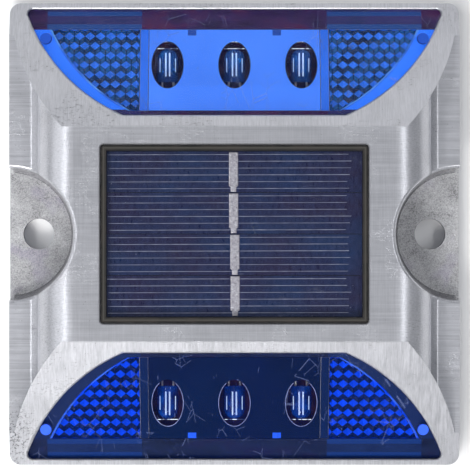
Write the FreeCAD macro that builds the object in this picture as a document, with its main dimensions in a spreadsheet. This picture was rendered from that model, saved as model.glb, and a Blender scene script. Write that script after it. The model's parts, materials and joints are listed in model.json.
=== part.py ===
# Raised pavement marker: a die-cast aluminium road stud with a solar window in its flat top,
# a sloped lens unit at each end, and a bolt seat in each side. FreeCAD 1.1 macro.
# Millimetres. +X runs across the stud from bolt to bolt, +Y along the traffic, +Z up.
# The origin is the centre of the underside.
import FreeCAD, Part
import math
import os
import re
import Sketcher

os.makedirs("parts", exist_ok=True)
doc = FreeCAD.newDocument("road_stud")

sizes = {
    # the casting
    "body_width": 102,
    "body_length": 105,
    "body_height": 22,
    "corner_radius": 2.5,
    "plateau_length": 48,
    "end_height": 5,
    "shoulder_radius": 8.3,
    "ledge_width": 6.7,
    "ledge_height": 9.5,
    "foot_radius": 2,
    "ramp_inset": 12.4,
    "ramp_arc": 46.3,
    "window_chamfer": 0.3,
    # bolt seats in the sides
    "seat_radius": 15,
    "seat_round": 0.8,
    "seat_floor": 5,
    "bolt_inset": 6.5,
    "bolt_hole": 7,
    # solar window
    "window_width": 60,
    "window_length": 40,
    "window_depth": 4,
    "window_ledge": 2.5,
    "window_corner": 0.8,
    "board_thickness": 1.6,
    "window_gap": 0.2,
    "seal_border": 1.35,
    "cell_count": 4,
    "cell_gap": 0.15,
    "cell_thickness": 0.3,
    "cell_margin": 0.1,
    "ribbon_width": 2.05,
    "ribbon_thickness": 0.12,
    "ribbon_inset": 0.1,
    "cover_sink": 0.1,
    # lens units, with depths measured straight down from the ramp
    "lens_inset_side": 3.5,
    "lens_inset_end": 1.3,
    "lens_inner_inset": 26,
    "lens_start": 2.6,
    "lens_arc": 41,
    "lens_corner": 1.2,
    "lens_depth": 1.8,
    "lens_gap": 0.1,
    "seal_depth": 0.3,
    "lens_rim_chamfer": 0.3,
    "pad_depth": 3.6,
    "pad_inset_side": 9,
    "pad_inner_inset": 27.1,
    "pad_start": 1,
    "lip_length": 4.7,
    "panel_width": 38.8,
    "panel_depth": 3,
    "rib_width": 1.9,
    "peg_inset_side": 8.3,
    "peg_inset_end": 8.2,
    "peg_radius": 1.25,
    "peg_length": 1.5,
    "peg_gap": 0.1,
    # light emitters and their holder
    "led_spacing": 15.1,
    "led_offset": 8.3,
    "cup_width": 7.3,
    "cup_length": 10.9,
    "led_radius": 2.4,
    "led_length": 7.6,
    "led_lens_gap": 0.3,
    "flange_step": 0.15,
    "flange_gap": 0.1,
    "flange_thickness": 1,
    "pin_radius": 0.25,
    "pin_pitch": 2.54,
    "pin_gap": 0.25,
    "holder_wall": 1,
    "led_board_thickness": 1.2,
    "led_board_width": 37,
    "led_board_top": 13,
    "led_board_gap": 0.8,
    # inside of the casting
    "cavity_width": 65,
    "cavity_length": 50,
    "cavity_top": 16,
    "passage_width": 16,
    "passage_top": 10,
    # base plate and what holds it
    "plate_width": 75.6,
    "plate_end_inset": 3.7,
    "plate_corner": 2,
    "plate_recess": 0.3,
    "plate_thickness": 1.6,
    "plate_gap": 0.2,
    "gasket_thickness": 0.5,
    "grip_pitch": 13,
    "grip_width": 11,
    "grip_depth": 0.5,
    "screw_x": 31,
    "screw_y": 36,
    "screw_radius": 1.25,
    "screw_head": 2.4,
    "screw_length": 8.5,
    "screw_gap": 0.25,
    # battery
    "battery_radius": 5.25,
    "battery_length": 43.7,
    "nub_radius": 1.9,
    "nub_length": 0.8,
    "battery_y": -12.5,
    "holder_wall_thickness": 2,
    "holder_base": 1,
    "holder_height": 6,
    "battery_gap": 0.15,
    "contact_thickness": 0.6,
    "contact_height": 10,
    "foam_length": 38,
    "foam_width": 8,
    # control board
    "control_width": 54,
    "control_back": 22,
    "control_front": -3,
    "control_thickness": 1.2,
    "control_bottom": 6.9,
    "post_x": 23.5,
    "post_front": 3,
    "post_back": 18.5,
    "post_radius": 2,
    "board_screw_radius": 0.8,
    "board_screw_head": 1.5,
    "board_screw_length": 4,
    "board_screw_gap": 0.1,
    # what stands on the control board
    "chip_x": -6,
    "chip_y": 4,
    "chip_width": 5,
    "chip_length": 4.4,
    "chip_height": 1.5,
    "diode_y": 13,
    "diode_width": 4.4,
    "diode_length": 2.6,
    "diode_height": 2.2,
    "resistor_count": 4,
    "resistor_x": 5,
    "resistor_y": 16,
    "resistor_pitch": 3,
    "resistor_width": 2,
    "resistor_length": 1.2,
    "resistor_height": 0.55,
    "inductor_x": 6,
    "inductor_y": 4.2,
    "inductor_radius": 3.3,
    "inductor_height": 4.5,
    "capacitor_x": -12,
    "capacitor_y": 15,
    "capacitor_radius": 3.15,
    "capacitor_height": 7,
    "can_chamfer": 0.4,
    # switch in the underside
    "switch_y": 10.2,
    "switch_width": 8.6,
    "switch_length": 4.4,
    "switch_height": 3.7,
    "switch_wall": 0.4,
    "slider_travel": 2,
    "slider_width": 3,
    "knob_width": 1.5,
    "knob_length": 1.4,
    "knob_bottom": 0.8,
    "slider_gap": 0.15,
    "slot_margin": 1,
    # internal wires
    "wire_radius": 0.5,
    "wire_bend": 1.1,
    "solar_lead_x": 20,
    "solar_lead_y": 11,
    "solar_lead_shift": 3,
    "solar_lead_drop": 4,
    "solar_lead_turn": 6.5,
    "battery_lead_rise": 3.4,
    "battery_lead_inset": 2,
    "led_lead_x": 5,
    "led_lead_run": 2.4,
    "led_lead_rise": 3,
    "led_lead_margin": 3,
    "side_lead_start": 3,
    "side_lead_end": 9,
    # how far a cut runs past what it cuts
    "cut_past": 1,
}

sheet = doc.addObject("Spreadsheet::Sheet", "Sizes")
for row, (alias, number) in enumerate(sizes.items(), start=1):
    sheet.set(f"A{row}", alias)
    sheet.set(f"B{row}", str(number))
    sheet.setAlias(f"B{row}", alias)
doc.recompute()

alias_pattern = re.compile(r"\b(" + "|".join(sizes) + r")\b")
nodes = []


# ---- helpers: every size reaches an object as an expression on the sheet ----

def bound(expression):
    """The expression with each size's name pointing at the sheet."""
    return alias_pattern.sub(r"Sizes.\1", str(expression))


def value(expression):
    """The expression's number now, used to draw a sketch close to its solved shape."""
    return float(sheet.evalExpression(bound(expression)))


def tie(thing, settings):
    for name, expression in settings.items():
        thing.setExpression(name, bound(expression))


def node(label, thing):
    """Marks a finished object as a sub-part. Its label names its file."""
    thing.Label = label
    if thing.Label != label:
        raise SystemExit(f"{label} is already another object's label")
    nodes.append(thing)
    return thing


def block(label, across, along, up):
    """A box between two values on each axis."""
    box = doc.addObject("Part::Box", label)
    for size, axis, (low, high) in zip(("Length", "Width", "Height"), "xyz", (across, along, up)):
        tie(box, {size: f"({high}) - ({low})", f"Placement.Base.{axis}": low})
    return box


turn_to = {
    "+z": FreeCAD.Rotation(),
    "+x": FreeCAD.Rotation(FreeCAD.Vector(0, 1, 0), 90),
    "+y": FreeCAD.Rotation(FreeCAD.Vector(1, 0, 0), -90),
    "-y": FreeCAD.Rotation(FreeCAD.Vector(1, 0, 0), 90),
}


def aim(thing, start, direction):
    """Puts a thing that is drawn up its own Z axis at a point, pointing another way."""
    thing.Placement = FreeCAD.Placement(FreeCAD.Vector(), turn_to[direction])
    for axis, expression in zip("xyz", start):
        tie(thing, {f"Placement.Base.{axis}": expression})
    return thing


def rod(label, radius, length, start, direction="+z"):
    cylinder = doc.addObject("Part::Cylinder", label)
    tie(cylinder, {"Radius": radius, "Height": length})
    return aim(cylinder, start, direction)


def cone(label, low_radius, high_radius, length, start):
    taper = doc.addObject("Part::Cone", label)
    tie(taper, {"Radius1": low_radius, "Radius2": high_radius, "Height": length})
    return aim(taper, start, "+z")


def oval(label, across, along, centre, low, high):
    """A straight post of elliptical section, longer along Y than it is wide."""
    rim = doc.addObject("Part::Ellipse", label + "_rim")
    rim.Placement.Rotation = FreeCAD.Rotation(FreeCAD.Vector(0, 0, 1), 90)
    tie(rim, {"MajorRadius": f"({along}) / 2", "MinorRadius": f"({across}) / 2"})
    tie(rim, {"Placement.Base.x": centre[0], "Placement.Base.y": centre[1], "Placement.Base.z": low})
    post = doc.addObject("Part::Extrusion", label)
    post.Base = rim
    post.DirMode = "Custom"
    post.Dir = FreeCAD.Vector(0, 0, 1)
    post.Solid = True
    tie(post, {"LengthFwd": f"({high}) - ({low})"})
    return post


def fuse(label, pieces):
    whole = doc.addObject("Part::MultiFuse", label)
    whole.Shapes = pieces
    whole.Refine = True
    return whole


def cut(label, base, tools):
    """The base with every tool taken out of it."""
    result = doc.addObject("Part::Cut", label)
    result.Base = base
    result.Tool = tools[0] if len(tools) == 1 else fuse(label + "_tools", tools)
    return result


def group(label, pieces):
    """Separate solids that share one node."""
    together = doc.addObject("Part::Compound", label)
    together.Links = pieces
    return together


def origin_plane(body, role):
    return next(feature for feature in body.Origin.OriginFeatures if feature.Role == role)


def fix_point(drawing, edge, end, x, y):
    """Holds an edge's end point (or a circle's centre) at two expressions."""
    for kind, expression in (("DistanceX", x), ("DistanceY", y)):
        index = drawing.addConstraint(Sketcher.Constraint(kind, -1, 1, edge, end, value(expression)))
        tie(drawing, {f"Constraints[{index}]": expression})


def fix_radius(drawing, edge, radius):
    index = drawing.addConstraint(Sketcher.Constraint("Radius", edge, value(radius)))
    tie(drawing, {f"Constraints[{index}]": radius})


def draw_circle(drawing, x, y, radius):
    centre = FreeCAD.Vector(value(x), value(y), 0)
    edge = drawing.addGeometry(Part.Circle(centre, FreeCAD.Vector(0, 0, 1), value(radius)), False)
    fix_point(drawing, edge, 3, x, y)
    fix_radius(drawing, edge, radius)


def arc_edge(start, end, radius, turn):
    """The short arc between two points that turns left (+1) or right (-1) on its way."""
    chord = end - start
    side = FreeCAD.Vector(-chord.y, chord.x, 0).normalize() * turn
    centre = (start + end) * 0.5 + side * math.sqrt(max(radius ** 2 - chord.Length ** 2 / 4, 0))
    first, last = (start, end) if turn > 0 else (end, start)
    angles = [math.atan2(point.y - centre.y, point.x - centre.x) for point in (first, last)]
    circle = Part.Circle(centre, FreeCAD.Vector(0, 0, 1), radius)
    return Part.ArcOfCircle(circle, angles[0], angles[1])


def draw_outline(drawing, corners):
    """A closed outline. A corner is (x, y), or (x, y, radius, turn) where an arc leaves it."""
    points = [FreeCAD.Vector(value(corner[0]), value(corner[1]), 0) for corner in corners]
    edges = []
    for number, corner in enumerate(corners):
        start, end = points[number], points[(number + 1) % len(points)]
        if len(corner) == 2:
            edges.append((drawing.addGeometry(Part.LineSegment(start, end), False), 1, 2))
            continue
        edge = drawing.addGeometry(arc_edge(start, end, value(corner[2]), corner[3]), False)
        edges.append((edge, 1, 2) if corner[3] > 0 else (edge, 2, 1))
    for number, corner in enumerate(corners):
        edge, first, last = edges[number]
        following, following_first, following_last = edges[(number + 1) % len(edges)]
        drawing.addConstraint(Sketcher.Constraint("Coincident", edge, last, following, following_first))
        fix_point(drawing, edge, first, corner[0], corner[1])
        if len(corner) == 4:
            fix_radius(drawing, edge, corner[2])


def rectangle(across, along):
    (left, right), (low, high) = across, along
    return [(left, low), (right, low), (right, high), (left, high)]


def rounded(half_width, half_length, radius):
    """A centred rectangle with round corners."""
    w, l, r = f"({half_width})", f"({half_length})", f"({radius})"
    return [
        (f"{r} - {w}", f"-{l}"), (f"{w} - {r}", f"-{l}", radius, 1),
        (w, f"{r} - {l}"), (w, f"{l} - {r}", radius, 1),
        (f"{w} - {r}", l), (f"{r} - {w}", l, radius, 1),
        (f"-{w}", f"{l} - {r}"), (f"-{w}", f"{r} - {l}", radius, 1),
    ]


def extrude(body, kind, name, role, low, high, outlines):
    """A Pad or Pocket of some outlines between two places along a plane's normal."""
    drawing = body.newObject("Sketcher::SketchObject", name + "_sketch")
    drawing.AttachmentSupport = [(origin_plane(body, role), "")]
    drawing.MapMode = "FlatFace"
    tie(drawing, {"AttachmentOffset.Base.z": f"(({low}) + ({high})) / 2"})
    for outline in outlines:
        if isinstance(outline, tuple):
            draw_circle(drawing, *outline)
        else:
            draw_outline(drawing, outline)
    step = body.newObject("PartDesign::" + kind, name)
    step.Profile = drawing
    step.SideType = "Symmetric"
    tie(step, {"Length": f"({high}) - ({low})"})
    return step


def dress_edges(body, kind, name, size, wanted):
    """A Fillet or Chamfer on each edge of the body so far that passes a test."""
    doc.recompute()
    edges = [f"Edge{number}" for number, edge in enumerate(body.Shape.Edges, start=1) if wanted(edge)]
    before = body.Shape.Volume
    base = body.Tip
    step = body.newObject("PartDesign::" + kind, name)
    step.Base = (base, edges)
    tie(step, {"Radius" if kind == "Fillet" else "Size": size})
    doc.recompute()
    print(f"{name}: {len(edges)} edges, {before - body.Shape.Volume:.2f} cubic mm taken off")


def prism(label, low, high, outlines):
    """A body with one Pad, from one height to another."""
    body = doc.addObject("PartDesign::Body", label)
    extrude(body, "Pad", label + "_pad", "XY_Plane", low, high, outlines)
    return body


def turned(label, corners):
    """A body turned about its own Z axis from a half profile of (radius, height) corners."""
    body = doc.addObject("PartDesign::Body", label)
    drawing = body.newObject("Sketcher::SketchObject", label + "_sketch")
    drawing.AttachmentSupport = [(origin_plane(body, "XZ_Plane"), "")]
    drawing.MapMode = "FlatFace"
    draw_outline(drawing, corners)
    step = body.newObject("PartDesign::Revolution", label + "_turned")
    step.Profile = drawing
    step.ReferenceAxis = (drawing, ["V_Axis"])
    step.Angle = 360
    return body


def wire(label, points, radius, bend):
    """A round wire along straight runs joined by tangent arcs of one radius."""
    corners = [FreeCAD.Vector(*[value(part) for part in point]) for point in points]
    bend, radius = value(bend), value(radius)
    edges, here = [], corners[0]
    for before, corner, after in zip(corners, corners[1:], corners[2:]):
        arriving = (corner - before).normalize()
        leaving = (after - corner).normalize()
        half_turn = arriving.getAngle(leaving) / 2
        reach = bend * math.tan(half_turn)
        start, end = corner - arriving * reach, corner + leaving * reach
        inward = (leaving - arriving).normalize()
        middle = corner + inward * (bend / math.cos(half_turn) - bend)
        edges.append(Part.LineSegment(here, start).toShape())
        edges.append(Part.Arc(start, middle, end).toShape())
        here = end
    edges.append(Part.LineSegment(here, corners[-1]).toShape())
    path = Part.Wire(edges)
    heading = (corners[1] - corners[0]).normalize()
    ring = Part.Wire(Part.Circle(corners[0], heading, radius).toShape())
    strand = doc.addObject("Part::Feature", label)
    strand.Shape = path.makePipeShell([ring], True, False)
    strand.Placement = FreeCAD.Placement()
    share = strand.Shape.Volume / (math.pi * radius ** 2 * path.Length)
    print(f"{label}: volume is {share:.3f} of section times length {path.Length:.1f}")
    return strand


# ---- places that several pieces share ----

half_width = "body_width / 2"
half_length = "body_length / 2"
ramp_start = "plateau_length / 2"
ramp_slope = f"((body_height - end_height) / ({half_length} - {ramp_start}))"
plate_top = "plate_recess + plate_thickness"
gasket_top = f"{plate_top} + gasket_thickness"
window_floor = "body_height - window_depth"
board_top = f"{window_floor} + board_thickness"
cell_top = f"{board_top} + cell_thickness"
cover_top = "body_height - cover_sink"
lens_end = f"{half_length} - lens_inset_end"
lens_beginning = f"{ramp_start} + lens_start"
bay_end = f"{lens_end} - lip_length"
bay_beginning = f"{lens_beginning} + pad_start"
led_y = f"{bay_end} - led_offset"
control_top = "control_bottom + control_thickness"


def ramp_height(y):
    """Height of the ramp's plane at a distance from the middle."""
    return f"body_height - {ramp_slope} * (({y}) - {ramp_start})"


def sloped(label, top_depth, bottom_depth, outlines, floor="0", corner=None):
    """An upright prism at the +Y end that is cut off at two depths below the ramp.
    A corner radius rounds the upright edges where the outer end of a lens outline is widest."""
    body = prism(label, floor, "body_height + 2 * cut_past", outlines)
    if corner:
        def end_corner(edge):
            box = edge.BoundBox
            upright = box.XLength < 0.01 and box.YLength < 0.01
            return upright and box.YMin > value(f"{lens_end} - lip_length / 2")

        dress_edges(body, "Fillet", f"{label}_corners", corner, end_corner)
    near, far = f"{ramp_start} - 4 * cut_past", f"{half_length} + 4 * cut_past"
    over = "body_height + 6 * cut_past"
    above = [
        (near, f"{ramp_height(near)} - ({top_depth})"), (far, f"{ramp_height(far)} - ({top_depth})"),
        (far, over), (near, over),
    ]
    cuts = [above]
    if bottom_depth is not None:
        cuts.append([
            (near, "-body_height"), (far, "-body_height"),
            (far, f"{ramp_height(far)} - ({bottom_depth})"),
            (near, f"{ramp_height(near)} - ({bottom_depth})"),
        ])
    for number, outline in enumerate(cuts):
        extrude(body, "Pocket", f"{label}_slope_{number}", "YZ_Plane",
                "-body_width", "body_width", [outline])
    return body


# the emitters lie level, as high as their round tips can be under the sloping lens
tip_centre = f"{led_y} + led_length / 2 - led_radius"
led_height = (f"{ramp_height(tip_centre)} - lens_depth"
              f" - (led_radius + led_lens_gap) / cos(atan({ramp_slope}))")
cup_floor = f"{led_height} - led_radius - flange_step"


def about_centre(thing):
    """Turns a piece of the +Y end about the middle, to the -Y end."""
    thing.Placement = FreeCAD.Placement(FreeCAD.Vector(), FreeCAD.Rotation(FreeCAD.Vector(0, 0, 1), 180))
    return thing


def lens_outline(gap):
    """Plan of a lens: straight ends and bowed sides, smaller all round by a gap."""
    wide = f"({half_width} - lens_inset_side - {gap})"
    narrow = f"({half_width} - lens_inner_inset - {gap})"
    start, end = f"{lens_beginning} + {gap}", f"{lens_end} - {gap}"
    return [
        (f"-{narrow}", start), (narrow, start, "lens_arc", 1),
        (wide, end), (f"-{wide}", end, "lens_arc", 1),
    ]


def pad_field():
    """Plan of the area inside the lens border."""
    wide = f"({half_width} - pad_inset_side)"
    narrow = f"({half_width} - pad_inner_inset)"
    return [
        (f"-{narrow}", bay_beginning), (narrow, bay_beginning, "lens_arc", 1),
        (wide, bay_end), (f"-{wide}", bay_end, "lens_arc", 1),
    ]


def pad_outline(side, gap):
    """Plan of one reflector pad, on the +X (1) or -X (-1) side."""
    inner = f"{side} * (panel_width / 2 + rib_width + {gap})"
    narrow = f"{side} * ({half_width} - pad_inner_inset - {gap})"
    wide = f"{side} * ({half_width} - pad_inset_side - {gap})"
    start, end = f"{bay_beginning} + {gap}", f"{bay_end} - {gap}"
    if side > 0:
        return [(inner, start), (narrow, start, "lens_arc", 1), (wide, end), (inner, end)]
    return [(inner, start), (inner, end), (wide, end, "lens_arc", 1), (narrow, start)]


# ---- housing ----

def housing():
    wall = f"({half_width} - ledge_width)"
    side_profile = [
        (f"-{half_width}", "0"), (half_width, "0"), (half_width, "ledge_height"),
        (f"{wall} + foot_radius", "ledge_height", "foot_radius", -1),
        (wall, "ledge_height + foot_radius"),
        (wall, "body_height - shoulder_radius", "shoulder_radius", 1),
        (f"{wall} - shoulder_radius", "body_height"),
        (f"shoulder_radius - {wall}", "body_height", "shoulder_radius", 1),
        (f"-{wall}", "body_height - shoulder_radius"),
        (f"-{wall}", "ledge_height + foot_radius", "foot_radius", -1),
        (f"-{wall} - foot_radius", "ledge_height"), (f"-{half_width}", "ledge_height"),
    ]
    ramp_plan = [
        (f"ramp_inset - {half_width}", ramp_start), (f"{half_width} - ramp_inset", ramp_start, "ramp_arc", 1),
        (half_width, half_length), (f"-{half_width}", half_length, "ramp_arc", 1),
    ]
    far, above = f"{half_length} + 4 * cut_past", "body_height + 4 * cut_past"
    ramp_cut = [(ramp_start, "body_height"), (far, ramp_height(far)), (far, above), (ramp_start, above)]
    opposite_plan = [(f"-({corner[0]})", f"-({corner[1]})") + corner[2:] for corner in ramp_plan]
    opposite_cut = [(f"-({y})", z) for y, z in ramp_cut]

    body = doc.addObject("PartDesign::Body", "casting")
    extrude(body, "Pad", "side_profile", "XZ_Plane", f"-{half_length}", half_length, [side_profile])
    extrude(body, "Pad", "ramp_blocks", "XY_Plane", "0", "body_height", [ramp_plan, opposite_plan])
    extrude(body, "Pocket", "ramps", "YZ_Plane", "-body_width", "body_width", [ramp_cut, opposite_cut])
    around = rectangle(("-body_width", "body_width"), ("-body_length", "body_length"))
    extrude(body, "Pocket", "plan_corners", "XY_Plane", "-cut_past", "body_height + cut_past",
            [around, rounded(half_width, half_length, "corner_radius")])
    half_window, half_long = "window_width / 2", "window_length / 2"
    extrude(body, "Pocket", "window", "XY_Plane", window_floor, "body_height + cut_past",
            [rounded(half_window, half_long, "window_corner")])
    extrude(body, "Pocket", "window_well", "XY_Plane", "cavity_top - cut_past", window_floor,
            [rectangle((f"window_ledge - {half_window}", f"{half_window} - window_ledge"),
                       (f"window_ledge - {half_long}", f"{half_long} - window_ledge"))])
    half_cavity, half_bay = "cavity_width / 2", "panel_width / 2"
    extrude(body, "Pocket", "cavity", "XY_Plane", "-cut_past", "cavity_top",
            [rectangle((f"-{half_cavity}", half_cavity), ("-cavity_length / 2", "cavity_length / 2"))])
    plate_half_length = f"{half_length} - plate_end_inset + plate_gap"
    extrude(body, "Pocket", "plate_rebate", "XY_Plane", "-cut_past", gasket_top,
            [rounded("plate_width / 2 + plate_gap", plate_half_length, "plate_corner")])

    seats = [(f"{side} * {half_width}", "0", "seat_radius") for side in (-1, 1)]
    extrude(body, "Pocket", "seats", "XY_Plane", "seat_floor", "body_height + cut_past", seats)

    def seat_rim(edge):
        upright = edge.BoundBox.XLength < 0.01 and edge.BoundBox.YLength < 0.01
        above_floor = edge.BoundBox.ZMin > value("(seat_floor + ledge_height) / 2")
        return not upright and above_floor and all(
            abs(math.hypot(abs(point.x) - value(half_width), point.y) - value("seat_radius")) < 0.01
            for point in edge.discretize(5))

    def window_rim(edge):
        box = edge.BoundBox
        return (box.ZMin > value("body_height") - 0.01 and max(abs(box.YMin), abs(box.YMax))
                < value(half_long) + 0.01 and max(abs(box.XMin), abs(box.XMax)) < value(half_window) + 0.01)

    dress_edges(body, "Fillet", "seat_rims", "seat_round", seat_rim)
    dress_edges(body, "Chamfer", "window_rim", "window_chamfer", window_rim)

    tools = []
    for name, side in (("left", -1), ("right", 1)):
        bolt = (f"{side} * ({half_width} - bolt_inset)", "0", "-cut_past")
        tools.append(rod(f"bolt_hole_{name}", "bolt_hole / 2", "seat_floor + 2 * cut_past", bolt))
        for end in (-1, 1):
            pilot = (f"{side} * screw_x", f"{end} * screw_y", "0")
            tools.append(rod(f"pilot_{name}_{end + 1}", "screw_radius", "plate_recess + screw_length", pilot))
    for end, place in (("rear", lambda tool: tool), ("front", about_centre)):
        lens_seat = sloped(f"{end}_lens_pocket", "-2 * cut_past", "lens_depth + seal_depth",
                           [lens_outline("0")], corner="lens_corner")
        pads = sloped(f"{end}_pad_pockets", "0", "pad_depth", [pad_outline(1, "0"), pad_outline(-1, "0")])
        bay = sloped(f"{end}_bay", "0", None,
                     [rectangle((f"-{half_bay}", half_bay), (bay_beginning, bay_end))])
        tools += [place(lens_seat), place(pads), place(bay)]
        sign = 1 if end == "rear" else -1
        low, high = "cavity_length / 2 - cut_past", f"{bay_beginning} + cut_past"
        span = (low, high) if sign > 0 else (f"-({high})", f"-({low})")
        tools.append(block(f"{end}_passage", ("-passage_width / 2", "passage_width / 2"), span,
                           ("0", "passage_top")))
        peg_y = f"{half_length} - peg_inset_end"
        peg_foot = f"{ramp_height(peg_y)} - lens_depth - peg_length - 2 * peg_gap"
        for side in (-1, 1):
            start = (f"{side} * ({half_width} - peg_inset_side)", f"{sign} * ({peg_y})", peg_foot)
            tools.append(rod(f"{end}_peg_hole_{side + 1}", "peg_radius + peg_gap", "body_height", start))
    machined = doc.addObject("PartDesign::Body", "housing")
    machined.BaseFeature = cut("casting_cut", body, tools)

    def lens_rim(edge):
        return all(
            abs(point.z - value(ramp_height(abs(point.y)))) < 0.01
            and abs(point.y) < value(lens_end) + 0.01
            and abs(point.x) < value(f"{half_width} - lens_inset_side") + 0.01
            and abs(point.y) > value(lens_beginning) - 0.01
            for point in edge.discretize(5))

    dress_edges(machined, "Chamfer", "lens_rims", "lens_rim_chamfer", lens_rim)
    node("housing", machined)


# ---- solar window ----

def solar_window():
    half_board = "window_width / 2 - window_gap"
    half_long = "window_length / 2 - window_gap"
    plan = rounded(half_board, half_long, "window_corner - window_gap")
    node("solar_board", prism("solar_board", window_floor, board_top, [plan]))
    across = ("seal_border - window_width / 2", "window_width / 2 - seal_border")
    along = ("seal_border - window_length / 2", "window_length / 2 - seal_border")
    inner = rectangle(across, along)
    node("solar_seal", prism("solar_seal", board_top, cover_top, [plan, inner]))
    field = "(window_length - 2 * seal_border - 2 * cell_margin)"
    pitch = f"({field} / cell_count)"
    half_cell = "window_width / 2 - seal_border - cell_margin"
    ribbons = []
    for number in range(1, int(value("cell_count")) + 1):
        centre = f"({pitch} * ({number} - 0.5) - {field} / 2)"
        half_depth = f"({pitch} - cell_gap) / 2"
        node(f"solar_cell_{number}", block(f"solar_cell_{number}", (f"-({half_cell})", half_cell),
             (f"{centre} - {half_depth}", f"{centre} + {half_depth}"), (board_top, cell_top)))
        ribbon = block(f"cell_ribbon_{number}", ("-ribbon_width / 2", "ribbon_width / 2"),
                       (f"{centre} - {half_depth} + ribbon_inset", f"{centre} + {half_depth} - ribbon_inset"),
                       (cell_top, f"{cell_top} + ribbon_thickness"))
        ribbons.append(node(f"cell_ribbon_{number}", ribbon))
    resin = block("resin", across, along, (cell_top, cover_top))
    node("solar_cover", cut("solar_cover", resin, ribbons))


# ---- lens units at the two ends ----

def lens_unit(end, place):
    sign = 1 if end == "rear" else -1
    outward = "+y" if end == "rear" else "-y"
    inward = "-y" if end == "rear" else "+y"

    plate = sloped(f"{end}_lens_plate", "0", "lens_depth", [lens_outline("lens_gap")],
                   corner="lens_corner - lens_gap")
    pegs = []
    for side in (-1, 1):
        peg_x, peg_y = f"{side} * ({half_width} - peg_inset_side)", f"{half_length} - peg_inset_end"
        seat = f"{ramp_height(peg_y)} - lens_depth"
        pegs.append(rod(f"{end}_peg_{side + 1}", "peg_radius", "peg_length + lens_depth / 2",
                        (peg_x, peg_y, f"{seat} - peg_length")))
    lens = fuse(f"{end}_lens", [plate] + pegs)
    node(f"{end}_lens", place(lens))

    seal = sloped(f"{end}_seal_blank", "lens_depth", "lens_depth + seal_depth",
                  [lens_outline("lens_gap"), pad_field()], corner="lens_corner - lens_gap")
    hole_tools = []
    for side in (-1, 1):
        spot = (f"{side} * ({half_width} - peg_inset_side)", f"{half_length} - peg_inset_end", "0")
        hole_tools.append(rod(f"{end}_seal_hole_{side + 1}", "peg_radius + peg_gap", "body_height", spot))
    node(f"{end}_lens_seal", place(cut(f"{end}_lens_seal", seal, hole_tools)))

    for side in (-1, 1):
        name = f"{end}_{'right' if side * sign > 0 else 'left'}_reflector"
        pad = sloped(f"{name}_blank", "lens_depth", "pad_depth", [pad_outline(side, "lens_gap")])
        spot = (f"{side} * ({half_width} - peg_inset_side)", f"{half_length} - peg_inset_end", "0")
        notch = rod(f"{name}_notch", "peg_radius + peg_gap", "body_height", spot)
        node(name, place(cut(name, pad, [notch])))

    half_panel = "panel_width / 2 - lens_gap"
    panel_start, panel_end = f"{bay_beginning} + lens_gap", f"{bay_end} - lens_gap"
    across = (f"-({half_panel})", half_panel)
    panel = sloped(f"{end}_panel", "lens_depth", "panel_depth", [rectangle(across, (panel_start, panel_end))])
    cup_back = f"{led_y} - cup_length / 2 - holder_wall"
    cups = sloped(f"{end}_cups", "lens_depth", None, [rectangle(across, (cup_back, panel_end))], plate_top)
    spots = [f"{step} * led_spacing" for step in (-1, 0, 1)]
    flange_face = f"{led_y} - led_length / 2"
    flange = "led_radius + flange_step"
    board_face = f"{bay_beginning} + led_board_gap + led_board_thickness"
    openings = []
    for number, x in enumerate(spots):
        openings.append(rod(f"{end}_flange_bore_{number}", f"{flange} + flange_gap",
                            "led_length / 2", (x, flange_face, led_height), "+y"))
        openings.append(oval(f"{end}_cup_{number}", "cup_width", "cup_length", (x, led_y),
                             cup_floor, "body_height"))
        for pin in (-1, 1):
            start = (f"{x} + {pin} * pin_pitch / 2", board_face, led_height)
            openings.append(rod(f"{end}_pin_hole_{number}_{pin + 1}", "pin_radius + pin_gap",
                                f"{led_y} - ({board_face})", start, "+y"))
    holder = fuse(f"{end}_holder_blank", [panel, cups])
    node(f"{end}_led_holder", place(cut(f"{end}_led_holder", holder, openings)))

    names = ("left", "middle", "right") if sign > 0 else ("right", "middle", "left")
    pins = []
    for name, x in zip(names, spots):
        emitter = turned(f"{end}_led_{name}", [
            ("0", "0"), (flange, "0"), (flange, "flange_thickness"),
            ("led_radius", "flange_thickness"), ("led_radius", "led_length - led_radius", "led_radius", 1),
            ("0", "led_length"),
        ])
        aim(emitter, (f"{sign} * {x}", f"{sign} * ({flange_face})", led_height), outward)
        node(f"{end}_led_{name}", emitter)
        for pin in (-1, 1):
            start = (f"{x} + {pin} * pin_pitch / 2", f"{sign} * ({flange_face})", led_height)
            pins.append(rod(f"{end}_pin_{name}_{pin + 1}", "pin_radius",
                            f"{flange_face} - ({board_face})", start, inward))
    node(f"{end}_led_pins", group(f"{end}_led_pins", pins))

    board = block(f"{end}_led_board_blank", ("-led_board_width / 2", "led_board_width / 2"),
                  (f"{bay_beginning} + led_board_gap", board_face), (plate_top, "led_board_top"))
    node(f"{end}_led_board", place(group(f"{end}_led_board", [board])))


# ---- base plate, gasket and screws ----

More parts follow.
